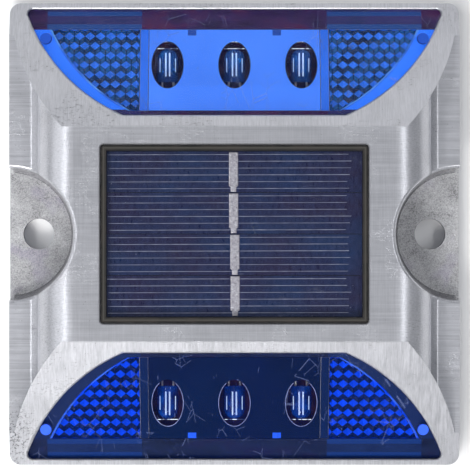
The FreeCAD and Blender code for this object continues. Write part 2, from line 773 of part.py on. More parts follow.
def base():
    plate_half_length = f"{half_length} - plate_end_inset"
    plan = rounded("plate_width / 2", plate_half_length, "plate_corner")
    body = prism("base_plate_blank", "plate_recess", plate_top, [plan])
    grips = []
    for column in (-1.5, -0.5, 0.5, 1.5):
        for row in range(-3, 4):
            if row == 1 and abs(column) < 1:
                continue
            x, y = f"{column} * grip_pitch", f"{row} * grip_pitch"
            grips.append(rectangle((f"{x} - grip_width / 2", f"{x} + grip_width / 2"),
                                   (f"{y} - grip_width / 2", f"{y} + grip_width / 2")))
    extrude(body, "Pocket", "grips", "XY_Plane", "0", "plate_recess + grip_depth", grips)

    posts, tools = [], []
    slot_half = "(knob_width + slider_travel) / 2 + slot_margin"
    slot_span = ("switch_y - knob_length / 2 - slot_margin", "switch_y + knob_length / 2 + slot_margin")
    tools.append(block("switch_slot", (f"-({slot_half})", slot_half), slot_span, ("0", "control_bottom")))
    for side in (-1, 1):
        for y in ("post_front", "post_back"):
            start = (f"{side} * post_x", y, f"{plate_top} - plate_thickness / 2")
            posts.append(rod(f"post_{side + 1}_{y}", "post_radius",
                             f"control_bottom - ({plate_top}) + plate_thickness / 2", start))
            hole = (f"{side} * post_x", y, f"{control_top} - board_screw_length")
            tools.append(rod(f"post_hole_{side + 1}_{y}", "board_screw_radius", "board_screw_length", hole))
        for end in (-1, 1):
            spot = (f"{side} * screw_x", f"{end} * screw_y", "plate_recess")
            tools.append(rod(f"screw_hole_{side + 1}_{end + 1}", "screw_radius + screw_gap",
                             "plate_thickness + cut_past", spot))
            tools.append(cone(f"countersink_{side + 1}_{end + 1}", "screw_head", "screw_radius",
                              "screw_head - screw_radius", spot))
    blank = fuse("base_plate_posts", [body] + posts)
    node("base_plate", cut("base_plate", blank, tools))

    half_cavity, half_bay = "cavity_width / 2", "panel_width / 2"
    right = [
        (half_bay, f"-({bay_end})"), (half_bay, "-cavity_length / 2"), (half_cavity, "-cavity_length / 2"),
        (half_cavity, "cavity_length / 2"), (half_bay, "cavity_length / 2"), (half_bay, bay_end),
    ]
    left = [(f"-{x}", y) for x, y in reversed(right)]
    holes = [(f"{side} * screw_x", f"{end} * screw_y", "screw_radius + screw_gap")
             for side in (-1, 1) for end in (-1, 1)]
    node("base_gasket", prism("base_gasket", plate_top, gasket_top, [plan, right + left] + holes))

    screws = []
    for side in (-1, 1):
        for end in (-1, 1):
            screw = turned(f"base_screw_{side + 1}_{end + 1}", [
                ("0", "0"), ("screw_head", "0"), ("screw_radius", "screw_head - screw_radius"),
                ("screw_radius", "screw_length - screw_radius"), ("0", "screw_length"),
            ])
            screws.append(aim(screw, (f"{side} * screw_x", f"{end} * screw_y", "plate_recess"), "+z"))
    node("base_screws", group("base_screws", screws))


# ---- battery ----

def battery():
    centre_z = f"({plate_top} + holder_base + battery_radius + battery_gap)"
    half_long = "(battery_length + nub_length) / 2"
    cell = turned("battery", [
        ("0", "0"), ("battery_radius", "0"), ("battery_radius", "battery_length"),
        ("nub_radius", "battery_length"), ("nub_radius", "battery_length + nub_length"),
        ("0", "battery_length + nub_length"),
    ])
    node("battery", aim(cell, (f"-{half_long}", "battery_y", centre_z), "+x"))
    wall = "battery_radius + battery_gap + holder_wall_thickness"
    contact_out = f"({half_long} + contact_thickness)"
    outer = f"({contact_out} + holder_wall_thickness)"
    low_y, high_y = f"battery_y - ({wall})", f"battery_y + {wall}"
    holder = block("battery_holder_blank", (f"-{outer}", outer), (low_y, high_y),
                   (plate_top, f"{plate_top} + holder_base + holder_height"))
    trough = rod("battery_trough", "battery_radius + battery_gap", f"2 * {contact_out}",
                 (f"-{contact_out}", "battery_y", centre_z), "+x")
    inner_y = ("battery_y - battery_radius - battery_gap", "battery_y + battery_radius + battery_gap")
    mouth = block("battery_mouth", (f"-{contact_out}", contact_out), inner_y, (centre_z, "cavity_top"))
    floor = f"{plate_top} + holder_base"
    tools = [trough, mouth]
    for name, side in (("left", -1), ("right", 1)):
        near, far = f"{side} * {half_long}", f"{side} * {contact_out}"
        span = (near, far) if side > 0 else (far, near)
        tools.append(block(f"contact_slot_{name}", span, inner_y, (floor, "cavity_top")))
        contact = block(f"battery_contact_{name}", span, inner_y, (floor, f"{floor} + contact_height"))
        node(f"battery_contact_{name}", contact)
    node("battery_holder", cut("battery_holder", holder, tools))
    node("battery_foam", block("battery_foam", ("-foam_length / 2", "foam_length / 2"),
         ("battery_y - foam_width / 2", "battery_y + foam_width / 2"),
         (f"{centre_z} + battery_radius", window_floor)))


# ---- control board ----

def control_board():
    plate = block("control_board_blank", ("-control_width / 2", "control_width / 2"),
                  ("control_front", "control_back"), ("control_bottom", control_top))
    holes, screws = [], []
    for side in (-1, 1):
        for y in ("post_front", "post_back"):
            tag = f"{side + 1}_{y}"
            spot = (f"{side} * post_x", y, "control_bottom - cut_past")
            holes.append(rod(f"board_hole_{tag}", "board_screw_radius + board_screw_gap",
                             "control_thickness + 2 * cut_past", spot))
            screw = turned(f"board_screw_{tag}", [
                ("0", "-board_screw_length"), ("board_screw_radius", "-board_screw_length"),
                ("board_screw_radius", "0"), ("board_screw_head", "0"),
                ("board_screw_head", "board_screw_radius"), ("0", "board_screw_radius"),
            ])
            screws.append(aim(screw, (f"{side} * post_x", y, control_top), "+z"))
    node("control_board", cut("control_board", plate, holes))
    node("board_screws", group("board_screws", screws))

    def part(label, kind, x, y):
        """A rectangular component, from the sizes that its kind names."""
        return block(label, (f"{x} - {kind}_width / 2", f"{x} + {kind}_width / 2"),
                     (f"{y} - {kind}_length / 2", f"{y} + {kind}_length / 2"),
                     (control_top, f"{control_top} + {kind}_height"))

    node("control_chip", part("control_chip", "chip", "chip_x", "chip_y"))
    node("diode", part("diode", "diode", "0", "diode_y"))
    chips = [part(f"resistor_{number}", "resistor", f"resistor_x + {number} * resistor_pitch", "resistor_y")
             for number in range(int(value("resistor_count")))]
    node("resistors", group("resistors", chips))
    node("inductor", turned_part("inductor"))
    node("capacitor", turned_part("capacitor"))


def turned_part(kind):
    """A round component with a chamfered top, standing on the control board."""
    radius, height = f"{kind}_radius", f"{kind}_height"
    can = turned(kind, [
        ("0", "0"), (radius, "0"), (radius, f"{height} - can_chamfer"),
        (f"{radius} - can_chamfer", height), ("0", height),
    ])
    return aim(can, (f"{kind}_x", f"{kind}_y", control_top), "+z")


# ---- switch ----

def switch():
    half_width_case, half_depth = "switch_width / 2", "switch_length / 2"
    bottom = "control_bottom - switch_height"
    shell = block("switch_shell", (f"-{half_width_case}", half_width_case),
                  (f"switch_y - {half_depth}", f"switch_y + {half_depth}"), (bottom, "control_bottom"))
    inside = block("switch_inside", (f"switch_wall - {half_width_case}", f"{half_width_case} - switch_wall"),
                   (f"switch_y - {half_depth} + switch_wall", f"switch_y + {half_depth} - switch_wall"),
                   (f"{bottom} + switch_wall", "control_bottom - switch_wall"))
    reach = "(knob_width + slider_travel) / 2 + slider_gap"
    slot = block("switch_case_slot", (f"-({reach})", reach),
                 ("switch_y - knob_length / 2 - slider_gap", "switch_y + knob_length / 2 + slider_gap"),
                 (f"{bottom} - cut_past", f"{bottom} + switch_wall + cut_past"))
    node("switch_case", cut("switch_case", shell, [inside, slot]))
    start = "-slider_travel / 2"
    shoe_half = f"({half_depth} - switch_wall - slider_gap)"
    shoe = block("slider_shoe", (f"{start} - slider_width / 2", f"{start} + slider_width / 2"),
                 (f"switch_y - {shoe_half}", f"switch_y + {shoe_half}"),
                 (f"{bottom} + switch_wall + slider_gap", "control_bottom - switch_wall - slider_gap"))
    knob = block("slider_knob", (f"{start} - knob_width / 2", f"{start} + knob_width / 2"),
                 ("switch_y - knob_length / 2", "switch_y + knob_length / 2"),
                 ("knob_bottom", f"{bottom} + switch_wall + 2 * slider_gap"))
    node("switch_slider", fuse("switch_slider", [shoe, knob]))


# ---- internal wires ----

def wires():
    led_board_back = f"{bay_beginning} + led_board_gap"
    middle_z = "control_bottom + control_thickness / 2"
    contact_x = "(battery_length + nub_length) / 2 + contact_thickness / 2"
    contact_y = "battery_y + battery_radius + battery_gap"
    low, side_run = f"{plate_top} + led_lead_rise", "cavity_width / 2 - led_lead_margin"
    end_run = "led_lead_margin - cavity_length / 2"
    rise, inset = f"{control_top} + battery_lead_rise", "control_front + battery_lead_inset"
    leads = {"solar_leads": [], "battery_leads": [], "rear_led_leads": [], "front_led_leads": []}
    for side in (-1, 1):
        def run(name, points):
            placed = [(f"{side} * ({x})", y, z) for x, y, z in points]
            leads[name].append(wire(f"{name}_{side + 1}", placed, "wire_radius", "wire_bend"))
        run("solar_leads", [
            ("solar_lead_x", "solar_lead_y", window_floor),
            ("solar_lead_x", "solar_lead_y", f"{window_floor} - solar_lead_drop"),
            ("solar_lead_x - solar_lead_shift", "solar_lead_y", f"{window_floor} - solar_lead_turn"),
            ("solar_lead_x - solar_lead_shift", "solar_lead_y", control_top),
        ])
        run("battery_leads", [
            (contact_x, contact_y, rise), (contact_x, inset, rise), (contact_x, inset, control_top),
        ])
        run("rear_led_leads", [
            ("led_lead_x", led_board_back, low), ("led_lead_x", f"{led_board_back} - led_lead_run", low),
            ("led_lead_x", "control_back + led_lead_run", middle_z), ("led_lead_x", "control_back", middle_z),
        ])
        run("front_led_leads", [
            ("led_lead_x", f"-({led_board_back})", low), ("led_lead_x", end_run, low),
            (side_run, end_run, low), (side_run, "side_lead_start", low),
            (side_run, "side_lead_end", middle_z), ("control_width / 2", "side_lead_end", middle_z),
        ])
    for name, pair in leads.items():
        node(name, group(name, pair))


housing()
solar_window()
lens_unit("rear", lambda piece: piece)
lens_unit("front", about_centre)
base()
battery()
control_board()
switch()
wires()
doc.recompute()

faults = [thing.Label for thing in doc.Objects if {"Invalid", "Error"} & set(thing.State)]
for part in nodes:
    if part.Shape.isNull() or not part.Shape.isValid() or not part.Shape.Solids:
        faults.append(part.Label)
if faults:
    raise SystemExit("not built: " + ", ".join(sorted(set(faults))))

for part in nodes:
    part.Shape.exportStep(f"parts/{part.Label}.step")
print(len(nodes), "sub-parts, volume", round(sum(part.Shape.Volume for part in nodes)), "cubic mm")
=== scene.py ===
import bpy, bmesh, json, math, random
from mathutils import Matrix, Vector


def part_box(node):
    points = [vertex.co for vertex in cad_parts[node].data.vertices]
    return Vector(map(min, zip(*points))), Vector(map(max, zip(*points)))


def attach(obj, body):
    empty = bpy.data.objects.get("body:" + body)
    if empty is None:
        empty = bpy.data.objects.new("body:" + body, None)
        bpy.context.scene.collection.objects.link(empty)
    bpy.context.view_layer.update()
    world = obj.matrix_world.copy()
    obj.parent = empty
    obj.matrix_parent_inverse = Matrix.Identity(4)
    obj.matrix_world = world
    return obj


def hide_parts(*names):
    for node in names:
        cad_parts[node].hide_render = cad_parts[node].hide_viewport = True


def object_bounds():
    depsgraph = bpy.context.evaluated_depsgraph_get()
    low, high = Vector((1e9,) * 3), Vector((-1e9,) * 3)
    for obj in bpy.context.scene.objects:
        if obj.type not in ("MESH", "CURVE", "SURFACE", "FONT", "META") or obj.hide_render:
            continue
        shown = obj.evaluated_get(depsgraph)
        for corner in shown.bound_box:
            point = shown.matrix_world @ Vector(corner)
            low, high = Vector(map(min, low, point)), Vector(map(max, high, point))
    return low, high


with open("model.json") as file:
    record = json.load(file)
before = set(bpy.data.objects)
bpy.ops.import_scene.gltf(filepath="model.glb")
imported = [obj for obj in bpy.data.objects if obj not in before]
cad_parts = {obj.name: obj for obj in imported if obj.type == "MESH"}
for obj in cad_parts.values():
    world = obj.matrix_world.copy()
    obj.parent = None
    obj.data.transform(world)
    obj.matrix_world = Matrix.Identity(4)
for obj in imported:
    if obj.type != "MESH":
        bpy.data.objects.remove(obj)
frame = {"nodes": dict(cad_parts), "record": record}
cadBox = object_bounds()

nodes = frame["nodes"]
mm = 0.001
lowCorner, highCorner = cadBox
topHeight = highCorner.z
clearLift = 0.04                    # millimetres between a clear piece and what it lies on
sameFace = 0.02                     # corners this near a face, in millimetres, lie on it


class Wire:
    # an output socket that takes part in sums
    def __init__(self, graph, socket):
        self.graph, self.socket = graph, socket

    def maths(self, operation, *values, clamp=False):
        return self.graph.node("Math", {"operation": operation, "use_clamp": clamp}, dict(enumerate(values)))

    def __add__(self, other):
        return self.maths("ADD", self, other)

    def __sub__(self, other):
        return self.maths("SUBTRACT", self, other)

    def __mul__(self, other):
        return self.maths("MULTIPLY", self, other)

    def __rsub__(self, other):
        return self.maths("SUBTRACT", other, self)

    def __gt__(self, other):
        return self.maths("GREATER_THAN", self, other)

    def __lt__(self, other):
        return self.maths("LESS_THAN", self, other)

    __radd__, __rmul__ = __add__, __mul__

    def power(self, exponent):
        return self.maths("POWER", self, exponent)

    def size(self):
        return self.maths("ABSOLUTE", self)

    def clamped(self):
        return self.maths("ADD", self, 0.0, clamp=True)

    def spread(self, low, high, newLow=0.0, newHigh=1.0):
        # the stretch from low to high becomes newLow to newHigh
        return self.graph.node("MapRange", {}, {0: self, 1: low, 2: high, 3: newLow, 4: newHigh})


class Graph:
    # one material and its node tree
    def __init__(self, name):
        self.material = bpy.data.materials.new(name)
        self.material.use_nodes = True
        self.tree = self.material.node_tree
        self.tree.nodes.clear()

    def node(self, kind, settings, inputs, output=0):
        # gives one output, or a list of them all where output is None
        made = self.tree.nodes.new("ShaderNode" + kind)
        for name, setting in settings.items():
            if name == "stops":
                self.fillRamp(made.color_ramp, setting)
            else:
                setattr(made, name, setting)
        for name, content in inputs.items():
            if isinstance(content, Wire):
                self.tree.links.new(content.socket, made.inputs[name])
            else:
                made.inputs[name].default_value = content
        if output is None:
            return [Wire(self, socket) for socket in made.outputs]
        return Wire(self, made.outputs[output])

    def fillRamp(self, ramp, stops):
        while len(ramp.elements) < len(stops):
            ramp.elements.new(0.5)
        for element, (place, colour) in zip(ramp.elements, stops):
            element.position = place
            element.color = (*colour, 1)

    def place(self, stretch=(1, 1, 1), turn=(0, 0, 0), shift=(0, 0, 0)):
        # object coordinates in millimetres, stretched
        here = self.node("TexCoord", {}, {}, "Object")
        scale = [part / mm for part in stretch]
        return self.node("Mapping", {},
                         {"Vector": here, "Location": shift, "Rotation": turn, "Scale": scale})

    def axes(self):
        # x, y and z in millimetres
        return self.node("SeparateXYZ", {}, {0: self.place()}, None)

    def facing(self):
        # x, y and z of the direction that the surface faces
        return self.node("SeparateXYZ", {}, {0: self.node("NewGeometry", {}, {}, "Normal")}, None)

    def noise(self, scale, detail=3.0, rough=0.55, stretch=(1, 1, 1), turn=(0, 0, 0), shift=(0, 0, 0)):
        where = self.place(stretch, turn, shift)
        return self.node("TexNoise", {},
                         {"Vector": where, "Scale": scale, "Detail": detail, "Roughness": rough})

    def cells(self, scale, feature="F1", stretch=(1, 1, 1), turn=(0, 0, 0), shift=(0, 0, 0)):
        where = self.place(stretch, turn, shift)
        return self.node("TexVoronoi", {"feature": feature}, {"Vector": where, "Scale": scale})

    def colours(self, factor, stops):
        return self.node("ValToRGB", {"stops": stops}, {0: factor})

    def mix(self, factor, first, second):
        first, second = (paint if isinstance(paint, Wire) else (*paint, 1) for paint in (first, second))
        return self.node("Mix", {"data_type": "RGBA"}, {0: factor, 6: first, 7: second}, 2)

    def bump(self, height, strength, depth):
        # depth in millimetres
        return self.node("Bump", {}, {"Strength": strength, "Distance": depth * mm, "Height": height})

    def finish(self, **inputs):
        # a principled surface, with its sockets written in camelCase
        names = {"colour": "Base Color", "metal": "Metallic", "rough": "Roughness", "normal": "Normal",
                 "coat": "Coat Weight", "coatRough": "Coat Roughness", "alpha": "Alpha",
                 "specular": "Specular IOR Level", "glow": "Emission Color",
                 "glowStrength": "Emission Strength"}
        sockets = {names[name]: content for name, content in inputs.items()}
        shader = self.node("BsdfPrincipled", {}, sockets)
        self.node("OutputMaterial", {}, {"Surface": shader}, None)
        return self.material


def dress(name, material):
    # the material goes on a CAD node, in every slot
    thing = nodes[name]
    if not thing.data.materials:
        thing.data.materials.append(material)
    for slot in thing.material_slots:
        slot.material = material


def inMillimetres(name):
    low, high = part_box(name)
    return [part / mm for part in low], [part / mm for part in high]


def rampPlane(end):
    # height above the underside and slope of the lens face, from its own mesh
    low, high = inMillimetres(f"{end}_lens")
    near, far = (low[1], high[1]) if end == "rear" else (-high[1], -low[1])
    nearTop = high[2]
    vertices = [corner.co / mm for corner in nodes[f"{end}_lens"].data.vertices]
    farTop = max(corner.z for corner in vertices if abs(abs(corner.y) - far) < 0.02)
    slope = (nearTop - farTop) / (far - near)
    return near, nearTop, slope


def rampHeight(end, y):
    near, nearTop, slope = rampPlane(end)
    return nearTop - slope * (abs(y) - near)


def dimmed(colour, share):
    return [part * share for part in colour]


def makePiece(name, mesh, material, body="stud", replaced=()):
    piece = bpy.data.objects.new(name, mesh)
    bpy.context.scene.collection.objects.link(piece)
    piece.data.materials.append(material)
    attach(piece, body)
    if replaced:
        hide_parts(*replaced)
    return piece


def meshFrom(builder, name):
    mesh = bpy.data.meshes.new(name)
    builder.to_mesh(mesh)
    builder.free()
    return mesh


def makeClearPiece(name, node, material, isUnderside):
    # the CAD piece with its underside a hair higher, so that it shares no face with what it lies on
    mesh = nodes[node].data.copy()
    mesh.name = name
    mesh.materials.clear()
    for corner in mesh.vertices:
        if isUnderside(corner.co / mm):
            corner.co.z += clearLift * mm
    makePiece(name, mesh, material, replaced=(node,))


def smooth(mesh, angle=35):
    for polygon in mesh.polygons:
        polygon.use_smooth = True
    mesh.set_sharp_from_angle(angle=math.radians(angle))


def joinRings(builder, rings):
    # faces between each ring of corners and the next
    for now, after in zip(rings, rings[1:]):
        for edge, corner in enumerate(now):
            following = (edge + 1) % len(now)
            builder.faces.new((corner, now[following], after[following], after[edge]))


def closeEnds(builder, rings):
    builder.faces.new(rings[0])
    builder.faces.new(rings[-1][::-1])


def addBar(builder, low, high, skew=0.0):
    # a straight strip, its far end higher in Y by skew
    corners = [(x, y + (skew if x == high[0] else 0), z) for x in (low[0], high[0])
               for y in (low[1], high[1]) for z in (low[2], high[2])]
    made = [builder.verts.new(Vector(corner) * mm) for corner in corners]
    for face in ((0, 1, 3, 2), (4, 6, 7, 5), (0, 4, 5, 1), (2, 3, 7, 6), (0, 2, 6, 4), (1, 5, 7, 3)):
        builder.faces.new([made[corner] for corner in face])


stage = {"frameWidth": 106.1, "distance": 900, "aimX": 0.13, "aimY": -0.22, "aimZ": 12, "sensor": 36,
         "near": 10, "far": 10000, "floorSize": 3000, "floorColour": (0.93, 0.93, 0.93),
         "floorShade": 0.98, "skyColour": (0.9, 0.93, 1.0), "skyStrength": 0.3}


def makeCamera():
    camera = bpy.data.cameras.new("camera")
    holder = bpy.data.objects.new("camera", camera)
    bpy.context.scene.collection.objects.link(holder)
    camera.sensor_width = stage["sensor"]
    reach = stage["distance"] - stage["aimZ"]
    camera.lens = camera.sensor_width * reach / stage["frameWidth"]
    holder.location = Vector((stage["aimX"], stage["aimY"], stage["distance"])) * mm
    camera.clip_start, camera.clip_end = stage["near"] * mm, stage["far"] * mm
    bpy.context.scene.camera = holder


def makeFloor():
    builder = bmesh.new()
    bmesh.ops.create_grid(builder, x_segments=8, y_segments=8, size=stage["floorSize"] * mm / 2)
    floor = bpy.data.objects.new("floor", meshFrom(builder, "floor"))
    bpy.context.scene.collection.objects.link(floor)
    graph = Graph("paperFloor")
    mottle = graph.noise(0.02, 2)
    paint = graph.mix(mottle, stage["floorColour"], dimmed(stage["floorColour"], stage["floorShade"]))
    floor.data.materials.append(graph.finish(colour=paint, rough=0.9, specular=0.1))


lights = [
    # name, place in millimetres, width, height, power, colour
    ("frontKey", (-200, -620, 700), 520, 300, 7.4, (1.0, 0.99, 0.97)),
    ("leftSoft", (-640, 0, 460), 900, 500, 1.5, (0.98, 0.99, 1.0)),
    ("rearCard", (0, 560, 300), 560, 130, 0.36, (1.0, 1.0, 1.0)),
    ("topSoft", (0, 0, 1500), 700, 700, 0.35, (0.97, 0.98, 1.0)),
    ("leftStrip", (-560, 0, 1060), 1100, 90, 3.0, (0.98, 0.99, 1.0)),
    ("rightStrip", (560, 0, 1060), 1100, 90, 2.7, (0.98, 0.99, 1.0)),
]


def makeLights():
    world = bpy.data.worlds.new("studio")
    bpy.context.scene.world = world
    world.use_nodes = True
    background = world.node_tree.nodes["Background"]
    background.inputs["Color"].default_value = (*stage["skyColour"], 1)
    background.inputs["Strength"].default_value = stage["skyStrength"]
    for name, spot, width, height, power, colour in lights:
        lamp = bpy.data.lights.new(name, "AREA")
        lamp.shape, lamp.size, lamp.size_y = "RECTANGLE", width * mm, height * mm
        lamp.energy, lamp.color = power, colour
        holder = bpy.data.objects.new(name, lamp)
        holder.location = Vector(spot) * mm
        holder.rotation_euler = (-Vector(spot)).to_track_quat("-Z", "Y").to_euler()
        bpy.context.scene.collection.objects.link(holder)


makeCamera()
makeFloor()
makeLights()
bpy.context.scene.view_settings.view_transform = "Standard"
print("stage is set")


plainFinishes = {
    # slot: dark colour, light colour, metal, roughness
    "plate": ((0.012, 0.012, 0.013), (0.03, 0.03, 0.032), 0.0, 0.55),
    "gasket": ((0.010, 0.010, 0.011), (0.022, 0.022, 0.024), 0.0, 0.8),
    "screw": ((0.40, 0.40, 0.41), (0.62, 0.62, 0.62), 0.9, 0.35),
    "circuit_board": ((0.008, 0.09, 0.035), (0.015, 0.16, 0.06), 0.0, 0.35),
    "contact_metal": ((0.50, 0.50, 0.48), (0.72, 0.72, 0.70), 0.9, 0.3),
    "wire": ((0.35, 0.02, 0.02), (0.5, 0.03, 0.03), 0.0, 0.4),
    "battery_sleeve": ((0.04, 0.22, 0.09), (0.06, 0.32, 0.13), 0.0, 0.3),
    "black_plastic": ((0.012, 0.012, 0.014), (0.028, 0.028, 0.03), 0.0, 0.5),
    "foam": ((0.02, 0.02, 0.02), (0.05, 0.05, 0.05), 0.0, 0.95),
    "can": ((0.55, 0.55, 0.57), (0.72, 0.72, 0.74), 0.85, 0.35),
    "resistor": ((0.02, 0.02, 0.022), (0.05, 0.05, 0.05), 0.0, 0.3),
    "slider": ((0.62, 0.62, 0.60), (0.75, 0.75, 0.72), 0.0, 0.45),
}


def plainFinish(slot):
    dark, light, metal, rough = plainFinishes[slot]
    graph = Graph(slot + "Finish")
    cloud = graph.noise(0.25, 5, 0.6)
    grain = graph.noise(4.0, 3, 0.6)
    wear = graph.noise(1.1, 5, 0.7, (1, 0.2, 1))
    paint = graph.mix((cloud * 0.6 + wear * 0.4).spread(0.3, 0.7), dark, light)
    normal = graph.bump(grain, 0.35, 0.04)
    return graph.finish(colour=paint, metal=metal, rough=wear.spread(0.3, 0.7, rough * 0.85, rough * 1.15),
                        normal=normal)


finishes = {slot: plainFinish(slot) for slot in plainFinishes}
for part in frame["record"]["subparts"]:
    if part["material_slot"] in finishes:
        dress(part["node"], finishes[part["material_slot"]])
print("hidden pieces are dressed")


casting = {"dark": (0.30, 0.305, 0.33), "mid": (0.44, 0.445, 0.475), "light": (0.535, 0.54, 0.575),
           "bright": (0.64, 0.645, 0.675), "pit": (0.07, 0.07, 0.075), "stain": (0.30, 0.27, 0.38),
           "metal": 0.75, "rampLean": 0.25, "shoulder": (35.5, 38.0), "topBand": 0.2,
           "foot": (43.8, 46.8), "footHeight": (9.55, 13), "seatTop": 5.3, "seatFoot": 4.5, "seatReach": 16,
           "pitting": (-50.0, -46.0), "pittingReach": 6.5, "pittingStretch": 0.35}


def castAluminium():
    graph = Graph("castAluminium")
    x, y, z = graph.axes()
    facingY, facingZ = graph.facing()[1:]
    ramp = (facingY.size() > casting["rampLean"]) * (facingZ > 0.3)
    plateau = (z > (topHeight / mm - casting["topBand"])) * x.size().spread(*casting["shoulder"], 1, 0)
    footNear, footFar = casting["foot"]
    footLow, footHigh = casting["footHeight"]
    foot = (x.size() > footNear) * (x.size() < footFar) * (z < footHigh) * (z > footLow) * (1 - ramp)
    seatFloor = (z < casting["seatTop"]) * (z > casting["seatFoot"]) * (facingZ > 0.5)
    seatFloor = seatFloor * (y.size() < casting["seatReach"])
    # fine grinding lines: across the slopes and ledges, along the ramps, crossed on the top
    acrossLines = graph.noise(1.0, 5, 0.75, (0.05, 3.4, 3.4))
    alongLines = graph.noise(1.0, 5, 0.75, (3.4, 0.06, 0.5))
    slantLines = graph.noise(1.0, 3, 0.7, (3.4, 0.10, 3.0), (0, 0, 0.9), (3, 1, 0))
    lines = ramp * alongLines + (1 - ramp) * acrossLines
    lines = lines + plateau * (slantLines - lines) * 0.4
    cloud = graph.noise(0.09, 4, 0.6)
    blotches = graph.noise(0.55, 5, 0.65)
    # patches of small scuffs, and single specks
    scuffField = graph.noise(0.11, 2, 0.5, shift=(3, 6, 0)) > 0.57
    scuffs = graph.noise(1.5, 4, 0.8, (0.7, 2.2, 1), (0, 0, 0.2)).spread(0.56, 0.68) * scuffField
    specks = graph.cells(1.1).spread(0.0, 0.17, 1.0, 0.0) * (graph.noise(0.13, 2) > 0.56)
    # heavy pitting at one corner
    offX, offY = x - casting["pitting"][0], y - casting["pitting"][1]
    reach = (offX * offX + offY * offY * casting["pittingStretch"]).power(0.5)
    pitField = reach.spread(1.0, casting["pittingReach"], 1.0, 0.0)
    pits = graph.noise(1.6, 5, 0.75).spread(0.53, 0.6) * pitField
    pits = (pits + specks * 0.6 + scuffs * 0.55).clamped()
    # the seats are left as cast
    grain = graph.noise(3.4, 6, 0.8, shift=(7, 3, 1))
    drift = graph.noise(0.22, 3, 0.6, shift=(2, 4, 1))
    stain = graph.noise(0.17, 2, 0.5, shift=(1, 7, 2)).spread(0.55, 0.7)
    tone = (lines.spread(0.25, 0.75, 0.15, 0.85) * 0.62 + cloud * 0.3 + blotches * 0.12).clamped()
    brushed = graph.colours(tone, [(0.2, casting["dark"]), (0.45, casting["mid"]), (0.62, casting["light"]),
                                   (0.9, casting["bright"])])
    rawCast = graph.colours(grain * 0.75 + drift * 0.25,
                            [(0.36, (0.10, 0.10, 0.105)), (0.46, (0.33, 0.33, 0.34)),
                             (0.56, (0.47, 0.47, 0.485)), (0.68, (0.72, 0.72, 0.72))])
    rawCast = graph.mix(stain * 0.35, rawCast, casting["stain"])
    paint = graph.mix(seatFloor, brushed, rawCast)
    # painted shade: the flat top is darkened a fifth toward the dark tone, a painted dark reflection of the
    # overhead
    paint = graph.mix(plateau * 0.2, paint, casting["dark"])
    paint = graph.mix(pits, paint, casting["pit"])
    rough = lines.spread(0.3, 0.7, 0.27, 0.40) + foot * 0.5 + seatFloor * 0.12 + pits * 0.25
    relief = lines * 0.5 + seatFloor * grain * 2.5 - pits * 1.5
    normal = graph.bump(relief, 0.5, 0.06)
    return graph.finish(colour=paint, metal=casting["metal"], rough=rough.clamped(), normal=normal)


seatRing = {"top": 14.97, "foot": 13.95, "below": 0.95, "steps": 64, "start": 4, "floor": 5.0, "lift": 0.02,
            "bendOut": 0.3, "bendUp": 0.75, "footShade": 5.16}
sideShape = {"topEdge": 36.0, "wall": 44.3, "ledge": 9.5, "footRound": 2.0}     # millimetres from the middle


def sideHeight(x):
    # height of the casting's side at a distance from the middle: flat top, round shoulder, ledge
    topEdge, wall, footRound = sideShape["topEdge"], sideShape["wall"], sideShape["footRound"]
    if x < topEdge:
        return topHeight / mm
    if x < wall:
        radius = wall - topEdge
        return topHeight / mm - radius + math.sqrt(radius ** 2 - (x - topEdge) ** 2)
    across = max(wall + footRound - x, 0)
    return sideShape["ledge"] + footRound - math.sqrt(max(footRound ** 2 - across ** 2, 0))


def makeSeatRings(metal):
    # the sloping foot of each seat's wall
    outer, inner, floor = seatRing["top"], seatRing["foot"], seatRing["floor"]
    halfWidth, lowest = highCorner.x / mm, floor + seatRing["lift"]
    for name, sign in (("left", -1), ("right", 1)):
        builder = bmesh.new()
        rings = []
        for step in range(seatRing["steps"] + 1):
            sweep = 180 - 2 * seatRing["start"]
            angle = math.radians(seatRing["start"] + sweep * step / seatRing["steps"] - 90)
            height = sideHeight(halfWidth - outer * math.cos(angle)) - seatRing["below"]
            bend = (inner + seatRing["bendOut"], floor + seatRing["bendUp"])
            corners = []
            for radius, z in ((outer, height), bend, (inner, lowest), (outer, lowest)):
                x = sign * (halfWidth - radius * math.cos(angle))
                corners.append(builder.verts.new(Vector((x, radius * math.sin(angle), z)) * mm))
            rings.append(corners)
        joinRings(builder, rings)
        closeEnds(builder, rings)
        bmesh.ops.recalc_face_normals(builder, faces=builder.faces)
        mesh = meshFrom(builder, f"seat_ring_{name}")
        smooth(mesh)
        makePiece(f"seat_ring_{name}", mesh, metal)


def asCast():
    graph = Graph("asCast")
    height = graph.axes()[2]
    grain = graph.noise(1.6, 5, 0.75)
    paint = graph.colours(grain, [(0.36, (0.16, 0.16, 0.17)), (0.5, (0.32, 0.32, 0.34)),
                                  (0.66, (0.5, 0.5, 0.52))])
    # painted shade: the lowest sliver of the ring, where its wall meets the seat floor, is darkened nearly
    # to black
    footShade = height < seatRing["footShade"]
    paint = graph.mix(footShade * 0.75, paint, (0.04, 0.04, 0.042))
    return graph.finish(colour=paint, metal=0.7, rough=grain.spread(0.3, 0.7, 0.4, 0.6),
                        normal=graph.bump(grain, 0.5, 0.05))


dress("housing", castAluminium())
makeSeatRings(asCast())
print("casting is dressed")


cellLook = {"navy": (0.005, 0.010, 0.047), "violet": (0.009, 0.006, 0.034), "blue": (0.003, 0.018, 0.070),
            "grain": (0.035, 0.05, 0.14), "dust": (0.4, 0.42, 0.5), "cells": 4, "fingersPerCell": 6,
            "fingerWidth": 0.13, "fingerHeight": 0.02, "plainEdge": 2.3, "raggedLeft": (0.1, 0.5),
            "raggedRight": 1.3, "widthSpread": (0.75, 1.15), "skew": 0.15}


